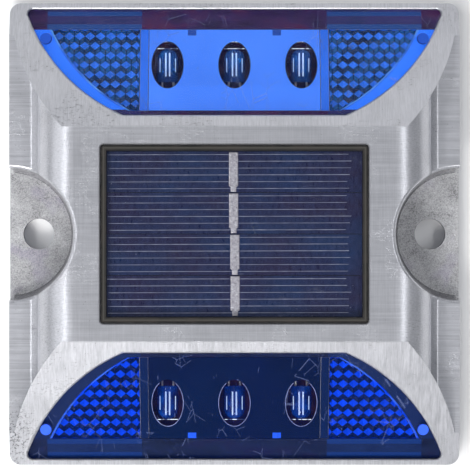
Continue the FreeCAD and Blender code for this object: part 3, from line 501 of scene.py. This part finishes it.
def solarSilicon(number):
    graph = Graph(f"solarSilicon{number}")
    shift = (number * 17.3, number * 5.1, 0)
    clouds = graph.noise(0.06, 4, 0.6, (1, 1.6, 1), (0, 0, 0), shift)
    grain = graph.noise(1.4, 4, 0.7, (1, 0.35, 1), (0, 0, 0), shift)
    paint = graph.colours(clouds, [(0.35, cellLook["violet"]), (0.5, cellLook["navy"]),
                                   (0.66, cellLook["blue"])])
    paint = graph.mix(grain.spread(0.4, 0.75, 0, 0.35), paint, cellLook["grain"])
    dust = graph.cells(0.55, shift=shift).spread(0.0, 0.06, 1, 0)
    paint = graph.mix(dust * (graph.noise(0.2, 2) > 0.55), paint, cellLook["dust"])
    return graph.finish(colour=paint, rough=grain.spread(0.3, 0.7, 0.25, 0.4), specular=0.25)


def fingerSilver():
    graph = Graph("fingerSilver")
    wear = graph.noise(0.5, 4, 0.7, (0.6, 3, 1))
    paint = graph.colours(wear, [(0.3, (0.10, 0.11, 0.17)), (0.6, (0.24, 0.26, 0.36)),
                                 (0.8, (0.38, 0.4, 0.5))])
    return graph.finish(colour=paint, metal=0.3, rough=wear.spread(0.3, 0.7, 0.35, 0.55))


def tinnedRibbon():
    graph = Graph("tinnedRibbon")
    blotch = graph.noise(1.6, 5, 0.75)
    fine = graph.noise(6.0, 3, 0.7)
    paint = graph.colours(blotch * 0.7 + fine * 0.3, [(0.36, (0.16, 0.15, 0.18)), (0.45, (0.36, 0.35, 0.39)),
                                                      (0.55, (0.46, 0.45, 0.5)), (0.66, (0.85, 0.85, 0.88))])
    normal = graph.bump(blotch + fine * 0.5, 0.6, 0.05)
    return graph.finish(colour=paint, metal=0.55, rough=blotch.spread(0.3, 0.7, 0.3, 0.55), normal=normal)


def clearResin():
    # nearly clear, with fine scratches and specks of dust
    graph = Graph("clearResin")
    haze = graph.noise(0.12, 4, 0.6)
    scratches = graph.cells(0.35, "DISTANCE_TO_EDGE", (0.15, 1, 1), (0, 0, 1.2)).spread(0, 0.012, 1, 0)
    scratches = scratches * (graph.noise(0.25, 2, 0.5, shift=(4, 9, 0)) > 0.6)
    specks = graph.cells(0.6, shift=(3, 8, 0)).spread(0, 0.045, 1, 0)
    marks = (scratches * 0.4 + specks * (graph.noise(0.16, 2) > 0.58)).clamped()
    cloudy = haze.spread(0.3, 0.7, 0.03, 0.07) + marks * 0.3
    paint = graph.mix(marks, (0.06, 0.07, 0.11), (0.6, 0.65, 0.8))
    return graph.finish(colour=paint, rough=haze.spread(0.3, 0.7, 0.16, 0.24), alpha=cloudy, specular=0.25)


def windowSeal():
    # black at the outside, a paler line along its middle that is a painted highlight, dark where it meets
    # the cells
    graph = Graph("windowSeal")
    x, y = graph.axes()[:2]
    inner = inMillimetres("solar_cover")[1]
    out = graph.node("Math", {"operation": "MAXIMUM"}, {0: x.size() - inner[0], 1: y.size() - inner[1]})
    smear = graph.noise(0.35, 5, 0.65)
    fine = graph.noise(3.0, 3, 0.6)
    # painted highlight: the paler stop along the seal's middle
    profile = graph.colours(out, [(0.0, (0.012, 0.012, 0.014)), (0.35, (0.022, 0.022, 0.019)),
                                  (0.62, (0.062, 0.060, 0.055)), (0.80, (0.026, 0.025, 0.022)),
                                  (0.97, (0.008, 0.008, 0.008))])
    worn = graph.mix(smear.spread(0.4, 0.7, 0, 0.4), profile, (0.045, 0.034, 0.030))
    return graph.finish(colour=worn, rough=smear.spread(0.3, 0.7, 0.3, 0.55), specular=0.25,
                        normal=graph.bump(fine, 0.4, 0.03))


def boardSilk():
    graph = Graph("boardSilk")
    cloud = graph.noise(0.4, 4, 0.6)
    paint = graph.mix(cloud, (0.006, 0.008, 0.012), (0.012, 0.016, 0.03))
    return graph.finish(colour=paint, rough=cloud.spread(0.3, 0.7, 0.3, 0.5), specular=0.2)


def makeCellFingers():
    # thin printed lines, a little uneven in length, width and slope
    random.seed(11)
    builder = bmesh.new()
    for number in range(1, cellLook["cells"] + 1):
        low, high = inMillimetres(f"solar_cell_{number}")
        pitch = (high[1] - low[1]) / cellLook["fingersPerCell"]
        for row in range(cellLook["fingersPerCell"]):
            centre = low[1] + (row + 0.5) * pitch
            left = low[0] + random.uniform(*cellLook["raggedLeft"])
            right = high[0] - cellLook["plainEdge"] - random.uniform(0, cellLook["raggedRight"])
            half = cellLook["fingerWidth"] / 2 * random.uniform(*cellLook["widthSpread"])
            top = high[2] + cellLook["fingerHeight"]
            addBar(builder, (left, centre - half, high[2]), (right, centre + half, top), cellLook["skew"])
    makePiece("cell_fingers", meshFrom(builder, "cell_fingers"), fingerSilver())


def makeSolarWindow():
    for number in range(1, cellLook["cells"] + 1):
        dress(f"solar_cell_{number}", solarSilicon(number))
    makeCellFingers()
    ribbonMetal = tinnedRibbon()
    for number in range(1, cellLook["cells"] + 1):
        makeRibbon(number, ribbonMetal)
    foot = inMillimetres("solar_cover")[0][2] + sameFace
    makeClearPiece("window_resin", "solar_cover", clearResin(), lambda place: place.z < foot)
    dress("solar_seal", windowSeal())
    dress("solar_board", boardSilk())


ribbonShape = {"rows": 34, "columns": 8, "tail": 0.13, "tailWidth": 0.62, "bead": 0.2, "beadWidth": 0.8,
               "beadLift": 0.8, "plainLift": 0.2, "bumps": 0.35, "wander": 0.02, "height": 0.07,
               "offset": 0.12, "thickness": 0.04, "seed": 40}


def makeRibbon(number, metal):
    # a hand-soldered ribbon: a wavy strip, a narrower tail and a solder bead at its lower end
    shape = ribbonShape
    low, high = inMillimetres(f"cell_ribbon_{number}")
    random.seed(shape["seed"] + number)
    offset = random.uniform(-shape["offset"], shape["offset"]) + shape["offset"] * (2.5 - number)
    builder = bmesh.new()
    grid = []
    for row in range(shape["rows"] + 1):
        share = row / shape["rows"]
        y = low[1] + (high[1] - low[1]) * share
        half = (high[0] - low[0]) / 2 * (shape["tailWidth"] if share < shape["tail"] else 1.0)
        line = []
        for column in range(shape["columns"] + 1):
            across = column / shape["columns"] * 2 - 1
            atEdge = abs(across) == 1
            wander = random.uniform(-shape["wander"], shape["wander"]) if atEdge else 0
            onBead = share < shape["bead"] and abs(across) < shape["beadWidth"]
            lift = random.uniform(0, shape["bumps"]) + (shape["beadLift"] if onBead else shape["plainLift"])
            z = low[2] + (0 if atEdge else shape["height"] * lift)
            line.append(builder.verts.new(Vector((offset + across * half + wander, y, z)) * mm))
        grid.append(line)
    for lower, upper in zip(grid, grid[1:]):
        for column in range(shape["columns"]):
            builder.faces.new((lower[column], lower[column + 1], upper[column + 1], upper[column]))
    mesh = meshFrom(builder, f"ribbon_{number}")
    smooth(mesh, 60)
    piece = makePiece(f"ribbon_{number}", mesh, metal, replaced=(f"cell_ribbon_{number}",))
    thickness = piece.modifiers.new("thickness", "SOLIDIFY")
    thickness.thickness, thickness.offset = shape["thickness"] * mm, 1


makeSolarWindow()
print("solar window is made")


# painted light: the two ends hold lit and shaded copies of the same lens parts. The rear's colours are
# painted bright, with a painted glow on its panel, ribs and lip border and more glow where the casting's
# shadow falls; the front's are painted dark, with pale painted highlights on its rims and notches. The
# shared glint colour paints glints on the corner pads.
lensLook = {
    "rear": {"panel": (0.062, 0.225, 0.92), "panelShade": (0.045, 0.18, 0.80), "glow": 0.26,
             "shadeGlow": 0.36, "borderGlow": 0.62, "rib": (0.022, 0.15, 0.78),
             "facet": (0.035, 0.21, 0.98), "edge": (0.12, 0.40, 1.0), "flankShade": (0.010, 0.105, 0.32),
             "line": (0.004, 0.016, 0.05), "notch": (0.020, 0.085, 0.45), "rim": (0.010, 0.012, 0.03),
             "lip": (0.040, 0.016, 0.070), "teal": (0.018, 0.085, 0.30), "patch": (0.085, 0.010, 0.030),
             "peg": (0.006, 0.09, 0.62), "shine": 0.15,
             "epoxy": [(0.3, (0.010, 0.06, 0.26)), (0.5, (0.012, 0.15, 0.62)), (0.72, (0.02, 0.26, 0.85))]},
    "front": {"panel": (0.0018, 0.009, 0.034), "panelShade": (0.0015, 0.006, 0.022), "glow": 0.0,
              "shadeGlow": 0.0, "borderGlow": 0.0, "rib": (0.003, 0.014, 0.06),
              "facet": (0.003, 0.060, 0.84), "edge": (0.05, 0.15, 0.72), "flankShade": (0.001, 0.011, 0.085),
              "line": (0.001, 0.005, 0.035), "notch": (0.02, 0.12, 0.95), "rim": (0.30, 0.34, 0.62),
              "lip": (0.0035, 0.010, 0.030), "teal": (0.003, 0.030, 0.16), "patch": (0.006, 0.003, 0.020),
              "peg": (0.02, 0.12, 0.90), "shine": 0.04,
              "epoxy": [(0.3, (0.002, 0.015, 0.12)), (0.5, (0.003, 0.05, 0.34)),
                        (0.72, (0.004, 0.10, 0.60))]},
    "tint": (0.006, 0.03, 0.30), "scratch": (0.5, 0.62, 0.95), "glint": (0.4, 0.6, 1.0),
    "thickness": 1.8, "cupDepth": 0.12, "shade": (33.7, 32.9), "pegX": 42.7, "pegY": 44.3, "pegRadius": 1.25}


def depthUnderRamp(graph, end):
    # how far a point lies under the lens face, in millimetres
    y, z = graph.axes()[1:]
    near, nearTop, slope = rampPlane(end)
    return nearTop - slope * (y.size() - near) - z


def clearLens(end):
    # nearly clear over the coloured pieces, with scratches, specks and two moulded pegs showing
    graph = Graph(f"{end}ClearLens")
    x, y = graph.axes()[:2]
    clouds = graph.noise(0.08, 3, 0.5)
    scratches = graph.cells(0.22, "DISTANCE_TO_EDGE", (1, 0.22, 1), (0, 0, 0.5)).spread(0, 0.016, 1, 0)
    scratches = scratches * (graph.noise(0.12, 3, 0.6, shift=(2, 5, 1)) > 0.57)
    specks = graph.cells(0.5).spread(0.0, 0.06, 1.0, 0.0) * (graph.noise(0.1, 2) > 0.52)
    marks = (scratches * 0.55 + specks * 0.8).clamped()
    offX, offY = x.size() - lensLook["pegX"], y.size() - lensLook["pegY"]
    peg = (offX * offX + offY * offY) < lensLook["pegRadius"] ** 2
    paint = graph.mix(marks, lensLook["tint"], lensLook["scratch"])
    paint = graph.mix(peg, paint, lensLook[end]["peg"])
    cloudy = (clouds.spread(0.3, 0.7, 0.03, 0.06) + marks * 0.45 + peg * 0.85).clamped()
    rough = clouds.spread(0.3, 0.7, 0.03, 0.08) + marks * 0.3 + peg * 0.5
    return graph.finish(colour=paint, rough=rough, alpha=cloudy, coat=peg.spread(0, 1, 0.6, 0),
                        coatRough=0.03, specular=0.4)


def panelPlastic(end):
    # painted bright on top at the rear and dark at the front, with painted shade, nearly black and brown,
    # inside the lamp cups
    look = lensLook[end]
    graph = Graph(f"{end}PanelPlastic")
    clouds = graph.noise(0.05, 3, 0.5)
    fine = graph.noise(0.9, 4, 0.6)
    paint = graph.mix(clouds.spread(0.35, 0.65), look["panel"], look["panelShade"])
    specks = graph.cells(0.45).spread(0.0, 0.05, 1.0, 0.0) * (graph.noise(0.1, 2) > 0.55)
    paint = graph.mix(specks * 0.7, paint, dimmed(look["panel"], 0.3))
    # painted shade inside the lamp cups: below the panel's face the colour turns nearly black and brown,
    # with no glow
    inside = depthUnderRamp(graph, end) > lensLook["thickness"] + lensLook["cupDepth"]
    smear = graph.noise(0.35, 4, 0.6)
    cupShade = graph.colours(smear, [(0.35, (0.006, 0.004, 0.007)), (0.55, (0.035, 0.010, 0.012)),
                                  (0.7, (0.085, 0.022, 0.012))])
    paint = graph.mix(inside, paint, cupShade)
    # painted light: the panel glows, and glows more on the strip where the casting casts its shadow, to lift
    # that shadow
    shaded = graph.axes()[1].size().spread(*lensLook["shade"], 0.0, 1.0)
    glow = graph.mix(shaded, dimmed(look["panel"], look["glow"]), dimmed(look["panel"], look["shadeGlow"]))
    glow = graph.mix(inside, glow, (0, 0, 0))
    return graph.finish(colour=paint, rough=fine.spread(0.3, 0.7, 0.12, 0.25), specular=0.08, glow=glow,
                        glowStrength=1.0)


def ribPlastic(end):
    look = lensLook[end]
    graph = Graph(f"{end}RibPlastic")
    clouds = graph.noise(0.3, 4, 0.6, (1, 0.2, 1))
    paint = graph.mix(clouds.spread(0.3, 0.7), look["rib"], dimmed(look["rib"], 0.75))
    # painted light: the strips glow with a share of their colour, bright and glowing at the rear and dark at
    # the front
    glow = (*dimmed(look["rib"], look["glow"]), 1)
    return graph.finish(colour=paint, rough=clouds.spread(0.3, 0.7, 0.15, 0.3), specular=0.1, glow=glow,
                        glowStrength=1.0)


def notchPlastic(end):
    look = lensLook[end]
    graph = Graph(f"{end}NotchPlastic")
    clouds = graph.noise(0.9, 4, 0.6)
    # painted light: dark notches at the rear and bright ones at the front, lit and shaded copies of the same
    # tabs
    paint = graph.mix(clouds.spread(0.3, 0.7), look["notch"], dimmed(look["notch"], 0.7))
    return graph.finish(colour=paint, rough=clouds.spread(0.3, 0.7, 0.2, 0.35), specular=0.1)


def rimPlastic(end):
    look = lensLook[end]
    graph = Graph(f"{end}RimPlastic")
    clouds = graph.noise(0.8, 4, 0.6)
    # painted light: the pale rims at the front are a painted highlight along the cup mouths, and the dark
    # rims at the rear are painted shade
    paint = graph.mix(clouds.spread(0.35, 0.65), look["rim"], dimmed(look["rim"], 0.5))
    return graph.finish(colour=paint, rough=clouds.spread(0.3, 0.7, 0.2, 0.35), specular=0.3)


def paintedGlints():
    # painted highlights: short bright dashes along a thin strip, glowing as well
    graph = Graph("paintedGlints")
    dashes = graph.noise(1.1, 2, 0.5, (1, 0.1, 0.1))
    paint = graph.colours(dashes, [(0.45, (0.02, 0.03, 0.07)), (0.56, (0.85, 0.9, 1.0))])
    return graph.finish(colour=paint, metal=0.3, rough=dashes.spread(0.3, 0.7, 0.35, 0.2), glow=paint,
                        glowStrength=0.3)


def cornerPlastic(end):
    # the facet layer holds 0 on a rhomb, 0.5 on its edge, 0.8 along a flank's edge and 1 on a flank
    look = lensLook[end]
    graph = Graph(f"{end}CornerPlastic")
    facet = graph.node("Attribute", {"attribute_name": "facet"}, {}, "Fac")
    clouds = graph.noise(0.3, 4, 0.65)
    patch = graph.noise(0.16, 2, 0.5, shift=(5, 2, 0))
    # painted light: each rhomb is painted bright and its flanks painted in shade, with a paler painted
    # highlight along the rhomb edges and the pad border
    paint = graph.mix(clouds.spread(0.35, 0.7), look["facet"], dimmed(look["facet"], 0.6))
    paint = graph.mix((facet > 0.3) * (facet < 0.7) * patch.spread(0.35, 0.6), paint, look["edge"])
    flank = graph.mix(patch.spread(0.4, 0.65), look["flankShade"], look["line"])
    paint = graph.mix(facet > 0.7, paint, flank)
    paint = graph.mix((facet > 0.7) * (facet < 0.95), paint, look["line"])
    # painted glints: scattered bright specks on the pads
    glint = graph.cells(0.6).spread(0.0, 0.09, 1.0, 0.0) * (graph.noise(0.2, 2) > 0.6)
    paint = graph.mix(glint * 0.8, paint, lensLook["glint"])
    return graph.finish(colour=paint, rough=clouds.spread(0.3, 0.7, 0.1, 0.25), specular=look["shine"])


lipShape = {"pads": (21, 42.5), "innerLine": 47.1, "innerHalf": 0.55, "outerLine": 50.1, "outerHalf": 0.5,
            "border": (27.9, 46.4)}


def lipSeal(end):
    # dark and smeared at the outer lip with two paler lines beside the pads, and the panel's blue round them
    look = lensLook[end]
    graph = Graph(f"{end}LipSeal")
    x, y = (place.size() for place in graph.axes()[:2])
    smear = graph.noise(0.14, 5, 0.6, (1, 2.2, 1))
    flecks = graph.noise(0.5, 5, 0.7)
    beside = (x > lipShape["pads"][0]) * (x < lipShape["pads"][1])
    lines = beside * ((y - lipShape["innerLine"]).size() < lipShape["innerHalf"])
    lines = lines + beside * ((y - lipShape["outerLine"]).size() < lipShape["outerHalf"])
    paint = graph.mix(smear.spread(0.35, 0.65), dimmed(look["lip"], 0.5), dimmed(look["lip"], 1.5))
    paint = graph.mix((1 - beside) * smear.spread(0.5, 0.65) * 0.7, paint, look["patch"])
    paint = graph.mix(flecks.spread(0.55, 0.75) * 0.5, paint, (0.02, 0.04, 0.15))
    paint = graph.mix(beside * 0.25 + lines * 0.6, paint, look["teal"])
    border = (y > lipShape["border"][0]) * (y < lipShape["border"][1])
    paint = graph.mix(border, paint, look["rib"])
    # painted light: the border glows with the rib's blue, brightly at the rear and not at all at the front
    glow = graph.mix(border, (0, 0, 0), dimmed(look["rib"], look["borderGlow"]))
    return graph.finish(colour=paint, rough=smear.spread(0.3, 0.7, 0.35, 0.6), specular=0.1, glow=glow,
                        glowStrength=1.0)


def lampEpoxy(end):
    graph = Graph(f"{end}LampEpoxy")
    cloud = graph.noise(0.5, 3)
    # painted light: a brighter blue epoxy at the rear than at the front, lit and shaded copies of the same
    # lamps
    paint = graph.colours(cloud, lensLook[end]["epoxy"])
    return graph.finish(colour=paint, rough=0.08, alpha=cloud.spread(0.3, 0.7, 0.34, 0.5), coat=0.35,
                        coatRough=0.05, specular=0.2)


def postStreakGlow():
    # painted highlight: bright, glowing posts that stand in for the lights' reflection streaks on each
    # lamp's body
    graph = Graph("postStreakGlow")
    cloud = graph.noise(1.5, 3)
    paint = graph.mix(cloud, (0.50, 0.66, 0.95), (0.80, 0.88, 1.0))
    return graph.finish(colour=paint, rough=cloud.spread(0.3, 0.7, 0.2, 0.35), glow=paint, glowStrength=0.8)


def onRamp(end, x, y, depth):
    # y counts outward from the middle of the body, depth downward from the lens face
    sign = 1 if end == "rear" else -1
    return Vector((x, sign * y, rampHeight(end, y) - depth)) * mm


def addSlab(builder, end, left, right, near, far, top, bottom, steps=1):
    # a flat strip that lies along the ramp
    rows = []
    for step in range(steps + 1):
        y = near + (far - near) * step / steps
        rows.append([builder.verts.new(onRamp(end, x, y, depth))
                     for x, depth in ((left, top), (right, top), (right, bottom), (left, bottom))])
    joinRings(builder, rows)
    closeEnds(builder, rows)


padShape = {"pitch": 2.36, "rowPitch": 2.23, "rhombHeight": 1.87, "relief": 0.62, "top": 1.86, "edge": 0.13,
            "line": 0.17, "border": 0.5, "borderTop": 1.84, "borderSteps": 16, "body": 0.5,
            "firstRow": 1.0, "firstColumn": 0.6, "peak": 1.5, "rimLift": 0.45, "smallest": 0.02}


def makeReflector(end, side, plastic):
    # cube corners: each a rhomb and two flanks about a low point, in rows half a pitch apart; the rhomb is
    # painted bright and the flanks painted in shade
    name = f"{end}_{side}_reflector"
    low, high = inMillimetres(name)
    sign = 1 if end == "rear" else -1
    outward = -1 if side == "left" else 1
    innerX, outerX = sorted((abs(low[0]), abs(high[0])))
    nearY, farY = sorted((abs(low[1]), abs(high[1])))
    outline = sideCurve(name, outward, sign)
    builder = bmesh.new()
    layer = builder.faces.layers.float.new("facet")
    spots = {}

    def spot(x, y, lift):
        # a corner held inside the pad's outline, made once
        inside = min(max(y, nearY), farY)
        x = min(max(x, innerX), outline(inside))
        key = (round(x, 2), round(inside, 2))
        if key not in spots:
            depth = padShape["top"] + padShape["relief"] * (1 - lift)
            spots[key] = builder.verts.new(onRamp(end, outward * x, inside, depth))
        return spots[key]

    half, spacing = padShape["pitch"] / 2, padShape["rowPitch"]
    peak, rim = padShape["peak"], padShape["rimLift"]
    waist, dip = peak - padShape["rhombHeight"] / 2, peak - padShape["rhombHeight"]
    rows = int((farY - nearY) / spacing) + 3
    columns = int((outerX - innerX) / padShape["pitch"]) + 3
    bright, dim = [], []
    for row in range(-1, rows):
        centreY = nearY + padShape["firstRow"] + row * spacing
        shift = half if row % 2 else 0
        for column in range(-1, columns):
            centreX = innerX + half * padShape["firstColumn"] + column * padShape["pitch"] + shift
            middle = (centreX, centreY + dip, 0.0)
            top = (centreX, centreY + peak, rim)
            right, left = (centreX + half, centreY + waist, 1.0), (centreX - half, centreY + waist, 1.0)
            rightLow, leftLow = ((x, centreY + peak - spacing, rim)
                                 for x in (centreX + half, centreX - half))
            bottom = (centreX, centreY + waist - spacing, 1.0)
            for points, value in (((middle, right, top, left), 0.0), ((middle, left, leftLow, bottom), 1.0),
                                  ((middle, bottom, rightLow, right), 1.0)):
                face = faceOf(builder, [spot(*point) for point in points])
                if face is None:
                    continue
                face[layer] = value
                (bright if value == 0.0 else dim).append(face)
    for faces, thickness, value in ((bright, padShape["edge"], 0.5), (dim, padShape["line"], 0.8)):
        for face in bmesh.ops.inset_individual(builder, faces=faces, thickness=thickness * mm)["faces"]:
            face[layer] = value
    addPadBorder(builder, layer, end, outward, outline, nearY, farY)
    bmesh.ops.recalc_face_normals(builder, faces=builder.faces)
    mesh = meshFrom(builder, name + "_corners")
    piece = makePiece(name + "_corners", mesh, plastic, replaced=(name,))
    body = piece.modifiers.new("body", "SOLIDIFY")
    body.thickness, body.offset = padShape["body"] * mm, -1


def faceOf(builder, vertices):
    # a face without repeated corners, or nothing where it would be a sliver
    kept = [vertex for place, vertex in enumerate(vertices) if vertex not in vertices[:place]]
    if len(kept) < 3 or builder.faces.get(kept):
        return None
    face = builder.faces.new(kept)
    if face.calc_area() < padShape["smallest"] * mm * mm:
        builder.faces.remove(face)
        return None
    return face


def addPadBorder(builder, layer, end, outward, outline, near, far):
    # the line along a pad's curved side, painted with the bright edge highlight
    rows = []
    for step in range(padShape["borderSteps"] + 1):
        y = near + (far - near) * step / padShape["borderSteps"]
        rows.append([builder.verts.new(onRamp(end, outward * (outline(y) - inset), y, padShape["borderTop"]))
                     for inset in (0.0, padShape["border"])])
    for first, second in zip(rows, rows[1:]):
        face = builder.faces.new((first[0], first[1], second[1], second[0]))
        face[layer] = 0.5


def sideCurve(name, outward, sign):
    # how far a pad reaches in X at each Y, from the CAD pad's own corners
    corners = {}
    for vertex in nodes[name].data.vertices:
        y, x = round(sign * vertex.co.y / mm, 2), outward * vertex.co.x / mm
        corners[y] = max(corners.get(y, 0), x)
    levels = sorted(corners)

    def reach(y):
        if y <= levels[0]:
            return corners[levels[0]]
        for low, high in zip(levels, levels[1:]):
            if y <= high:
                share = (y - low) / (high - low)
                return corners[low] * (1 - share) + corners[high] * share
        return corners[levels[-1]]
    return reach


# the posts are the lamp's lead posts, made bright and glowing to paint the lights' reflection streaks; the
# glints are bars that only paint side highlights
lampShape = {"flange": 1.0, "step": 0.15, "segments": 28, "domeSteps": 8,
             "posts": {"offset": 0.43, "width": 0.32, "start": 1.3, "stop": 6.6, "lift": 1.55},
             "glints": {"offset": 1.75, "width": 0.2, "start": 2.3, "stop": 5.4, "lift": 1.1},
             "barDepth": 0.2}
cupShape = {"width": 7.3, "length": 10.9, "centre": 38.2, "steps": 56, "rimTop": 1.83, "rimBottom": 1.93,
            "rimInset": (0.02, 0.15), "frontArc": (-60, 240), "wire": 3.7, "wireWidth": 0.16,
            "wireReach": 2.3, "wireTop": 2.0, "wireBottom": 2.2, "lipInset": 0.18, "lipWidth": 0.14,
            "lipReach": (0.15, 0.95), "lipTop": 1.82, "lipBottom": 1.9}


def makeLamp(end, side, epoxy, metal):
    # a turned epoxy body with a flange and a round tip, and inside it bright glowing bars that paint the
    # lights' reflection streaks: its two lead posts and two side glints
    name = f"{end}_led_{side}"
    low, high = inMillimetres(name)
    sign = 1 if end == "rear" else -1
    near, far = sorted((abs(low[1]), abs(high[1])))
    centreX, centreZ, flangeRadius = (low[0] + high[0]) / 2, (low[2] + high[2]) / 2, (high[0] - low[0]) / 2
    radius, flangeEnd = flangeRadius - lampShape["step"], near + lampShape["flange"]
    profile = [(near, 0), (near, flangeRadius), (flangeEnd, flangeRadius), (flangeEnd, radius)]
    for step in range(lampShape["domeSteps"] + 1):
        angle = math.pi / 2 * step / lampShape["domeSteps"]
        profile.append((far - radius + radius * math.sin(angle), radius * math.cos(angle)))
    builder = bmesh.new()
    turns = [2 * math.pi * turn / lampShape["segments"] for turn in range(lampShape["segments"])]
    rings = []
    for y, reach in profile:
        ringTurns = turns if reach > 0.001 else [math.pi / 2]
        rings.append([builder.verts.new(Vector((centreX + reach * math.cos(turn), sign * y,
                                                centreZ + reach * math.sin(turn))) * mm)
                      for turn in ringTurns])
    for first, second in zip(rings, rings[1:]):
        for turn in range(lampShape["segments"]):
            following = (turn + 1) % lampShape["segments"]
            faceOf(builder, [first[turn % len(first)], first[following % len(first)],
                             second[following % len(second)], second[turn % len(second)]])
    bmesh.ops.recalc_face_normals(builder, faces=builder.faces)
    mesh = meshFrom(builder, name + "_body")
    smooth(mesh)
    makePiece(name + "_body", mesh, epoxy, replaced=(name,))
    inside = bmesh.new()
    for shape in (lampShape["posts"], lampShape["glints"]):
        for direction in (-1, 1):
            x = centreX + direction * shape["offset"]
            ends = sorted((sign * (near + shape["start"]), sign * (near + shape["stop"])))
            top = centreZ + shape["lift"]
            addBar(inside, (x - shape["width"] / 2, ends[0], top - lampShape["barDepth"]),
                   (x + shape["width"] / 2, ends[1], top))
    makePiece(name + "_posts", meshFrom(inside, name + "_posts"), metal)


def makeCupRims(end):
    # thin ovals at the mouths of the lamp cups, open at the inner end on the front
    first, last = cupShape["frontArc"] if end == "front" else (0, 360)
    outer, inner = cupShape["rimInset"]
    top, bottom = cupShape["rimTop"], cupShape["rimBottom"]
    builder = bmesh.new()
    for side in ("left", "middle", "right"):
        low, high = inMillimetres(f"{end}_led_{side}")
        centreX = (low[0] + high[0]) / 2
        rings = []
        for step in range(cupShape["steps"] + 1):
            angle = math.radians(first + (last - first) * step / cupShape["steps"])
            corners = []
            for inset, depth in ((outer, top), (inner, top), (inner, bottom), (outer, bottom)):
                x = centreX + (cupShape["width"] / 2 - inset) * math.cos(angle)
                y = cupShape["centre"] + (cupShape["length"] / 2 - inset) * math.sin(angle)
                corners.append(builder.verts.new(onRamp(end, x, y, depth)))
            rings.append(corners)
        joinRings(builder, rings)
        if end == "front":
            closeEnds(builder, rings)
    bmesh.ops.remove_doubles(builder, verts=builder.verts, dist=0.001 * mm)
    bmesh.ops.recalc_face_normals(builder, faces=builder.faces)
    makePiece(f"{end}_cup_rims", meshFrom(builder, f"{end}_cup_rims"), rimPlastic(end))


def makeCupBars(end, metal):
    # a thin strip across each cup, near its outer end, and at the rear two dashes on its lip, all carrying
    # painted highlight dashes
    builder = bmesh.new()
    for side in ("left", "middle", "right"):
        low, high = inMillimetres(f"{end}_led_{side}")
        centreX = (low[0] + high[0]) / 2
        wire, reach = cupShape["centre"] + cupShape["wire"], cupShape["wireReach"]
        addSlab(builder, end, centreX - reach, centreX + reach, wire, wire + cupShape["wireWidth"],
                cupShape["wireTop"], cupShape["wireBottom"])
        if end == "front":
            continue
        lip = cupShape["centre"] + cupShape["length"] / 2 - cupShape["lipInset"]
        near, far = cupShape["lipReach"]
        for left, right in ((-far, -near), (near, far)):
            addSlab(builder, end, centreX + left, centreX + right, lip, lip + cupShape["lipWidth"],
                    cupShape["lipTop"], cupShape["lipBottom"])
    makePiece(f"{end}_cup_bars", meshFrom(builder, f"{end}_cup_bars"), metal)


ribShape = {"gap": 0.15, "top": 1.83, "bottom": 2.08, "steps": 6, "notch": 9.6, "notchHalf": 0.95,
            "notchFrom": 1.35, "notchTo": 0.05, "notchTop": 1.79, "notchBottom": 1.9}


def makeRibs(end):
    # a strip on each side of the centre panel, and two notches at its outer edge
    builder = bmesh.new()
    low, high = inMillimetres(f"{end}_left_reflector")
    near, far = sorted((abs(low[1]), abs(high[1])))
    panel = inMillimetres(f"{end}_led_holder")[1][0] + ribShape["gap"]
    edge = min(abs(low[0]), abs(high[0])) - ribShape["gap"]
    for side in (-1, 1):
        addSlab(builder, end, side * panel, side * edge, near, far, ribShape["top"], ribShape["bottom"],
                ribShape["steps"])
    makePiece(f"{end}_rib_strips", meshFrom(builder, f"{end}_rib_strips"), ribPlastic(end))
    tabs = bmesh.new()
    for side in (-1, 1):
        centre, half = side * ribShape["notch"], ribShape["notchHalf"]
        addSlab(tabs, end, centre - half, centre + half, far - ribShape["notchFrom"],
                far - ribShape["notchTo"], ribShape["notchTop"], ribShape["notchBottom"])
    makePiece(f"{end}_notch_tabs", meshFrom(tabs, f"{end}_notch_tabs"), notchPlastic(end))


def makeLensUnit(end, posts, glints):
    def underLens(place):
        return abs(rampHeight(end, place.y) - place.z - lensLook["thickness"]) < sameFace

    makeClearPiece(f"{end}_lens_clear", f"{end}_lens", clearLens(end), underLens)
    dress(f"{end}_led_holder", panelPlastic(end))
    dress(f"{end}_lens_seal", lipSeal(end))
    plastic = cornerPlastic(end)
    for side in ("left", "right"):
        makeReflector(end, side, plastic)
    epoxy = lampEpoxy(end)
    for side in ("left", "middle", "right"):
        makeLamp(end, side, epoxy, posts)
    makeCupRims(end)
    makeCupBars(end, glints)
    makeRibs(end)


postStreaks, paintedCupGlints = postStreakGlow(), paintedGlints()
makeLensUnit("rear", postStreaks, paintedCupGlints)
makeLensUnit("front", postStreaks, paintedCupGlints)
print("lens units are made")
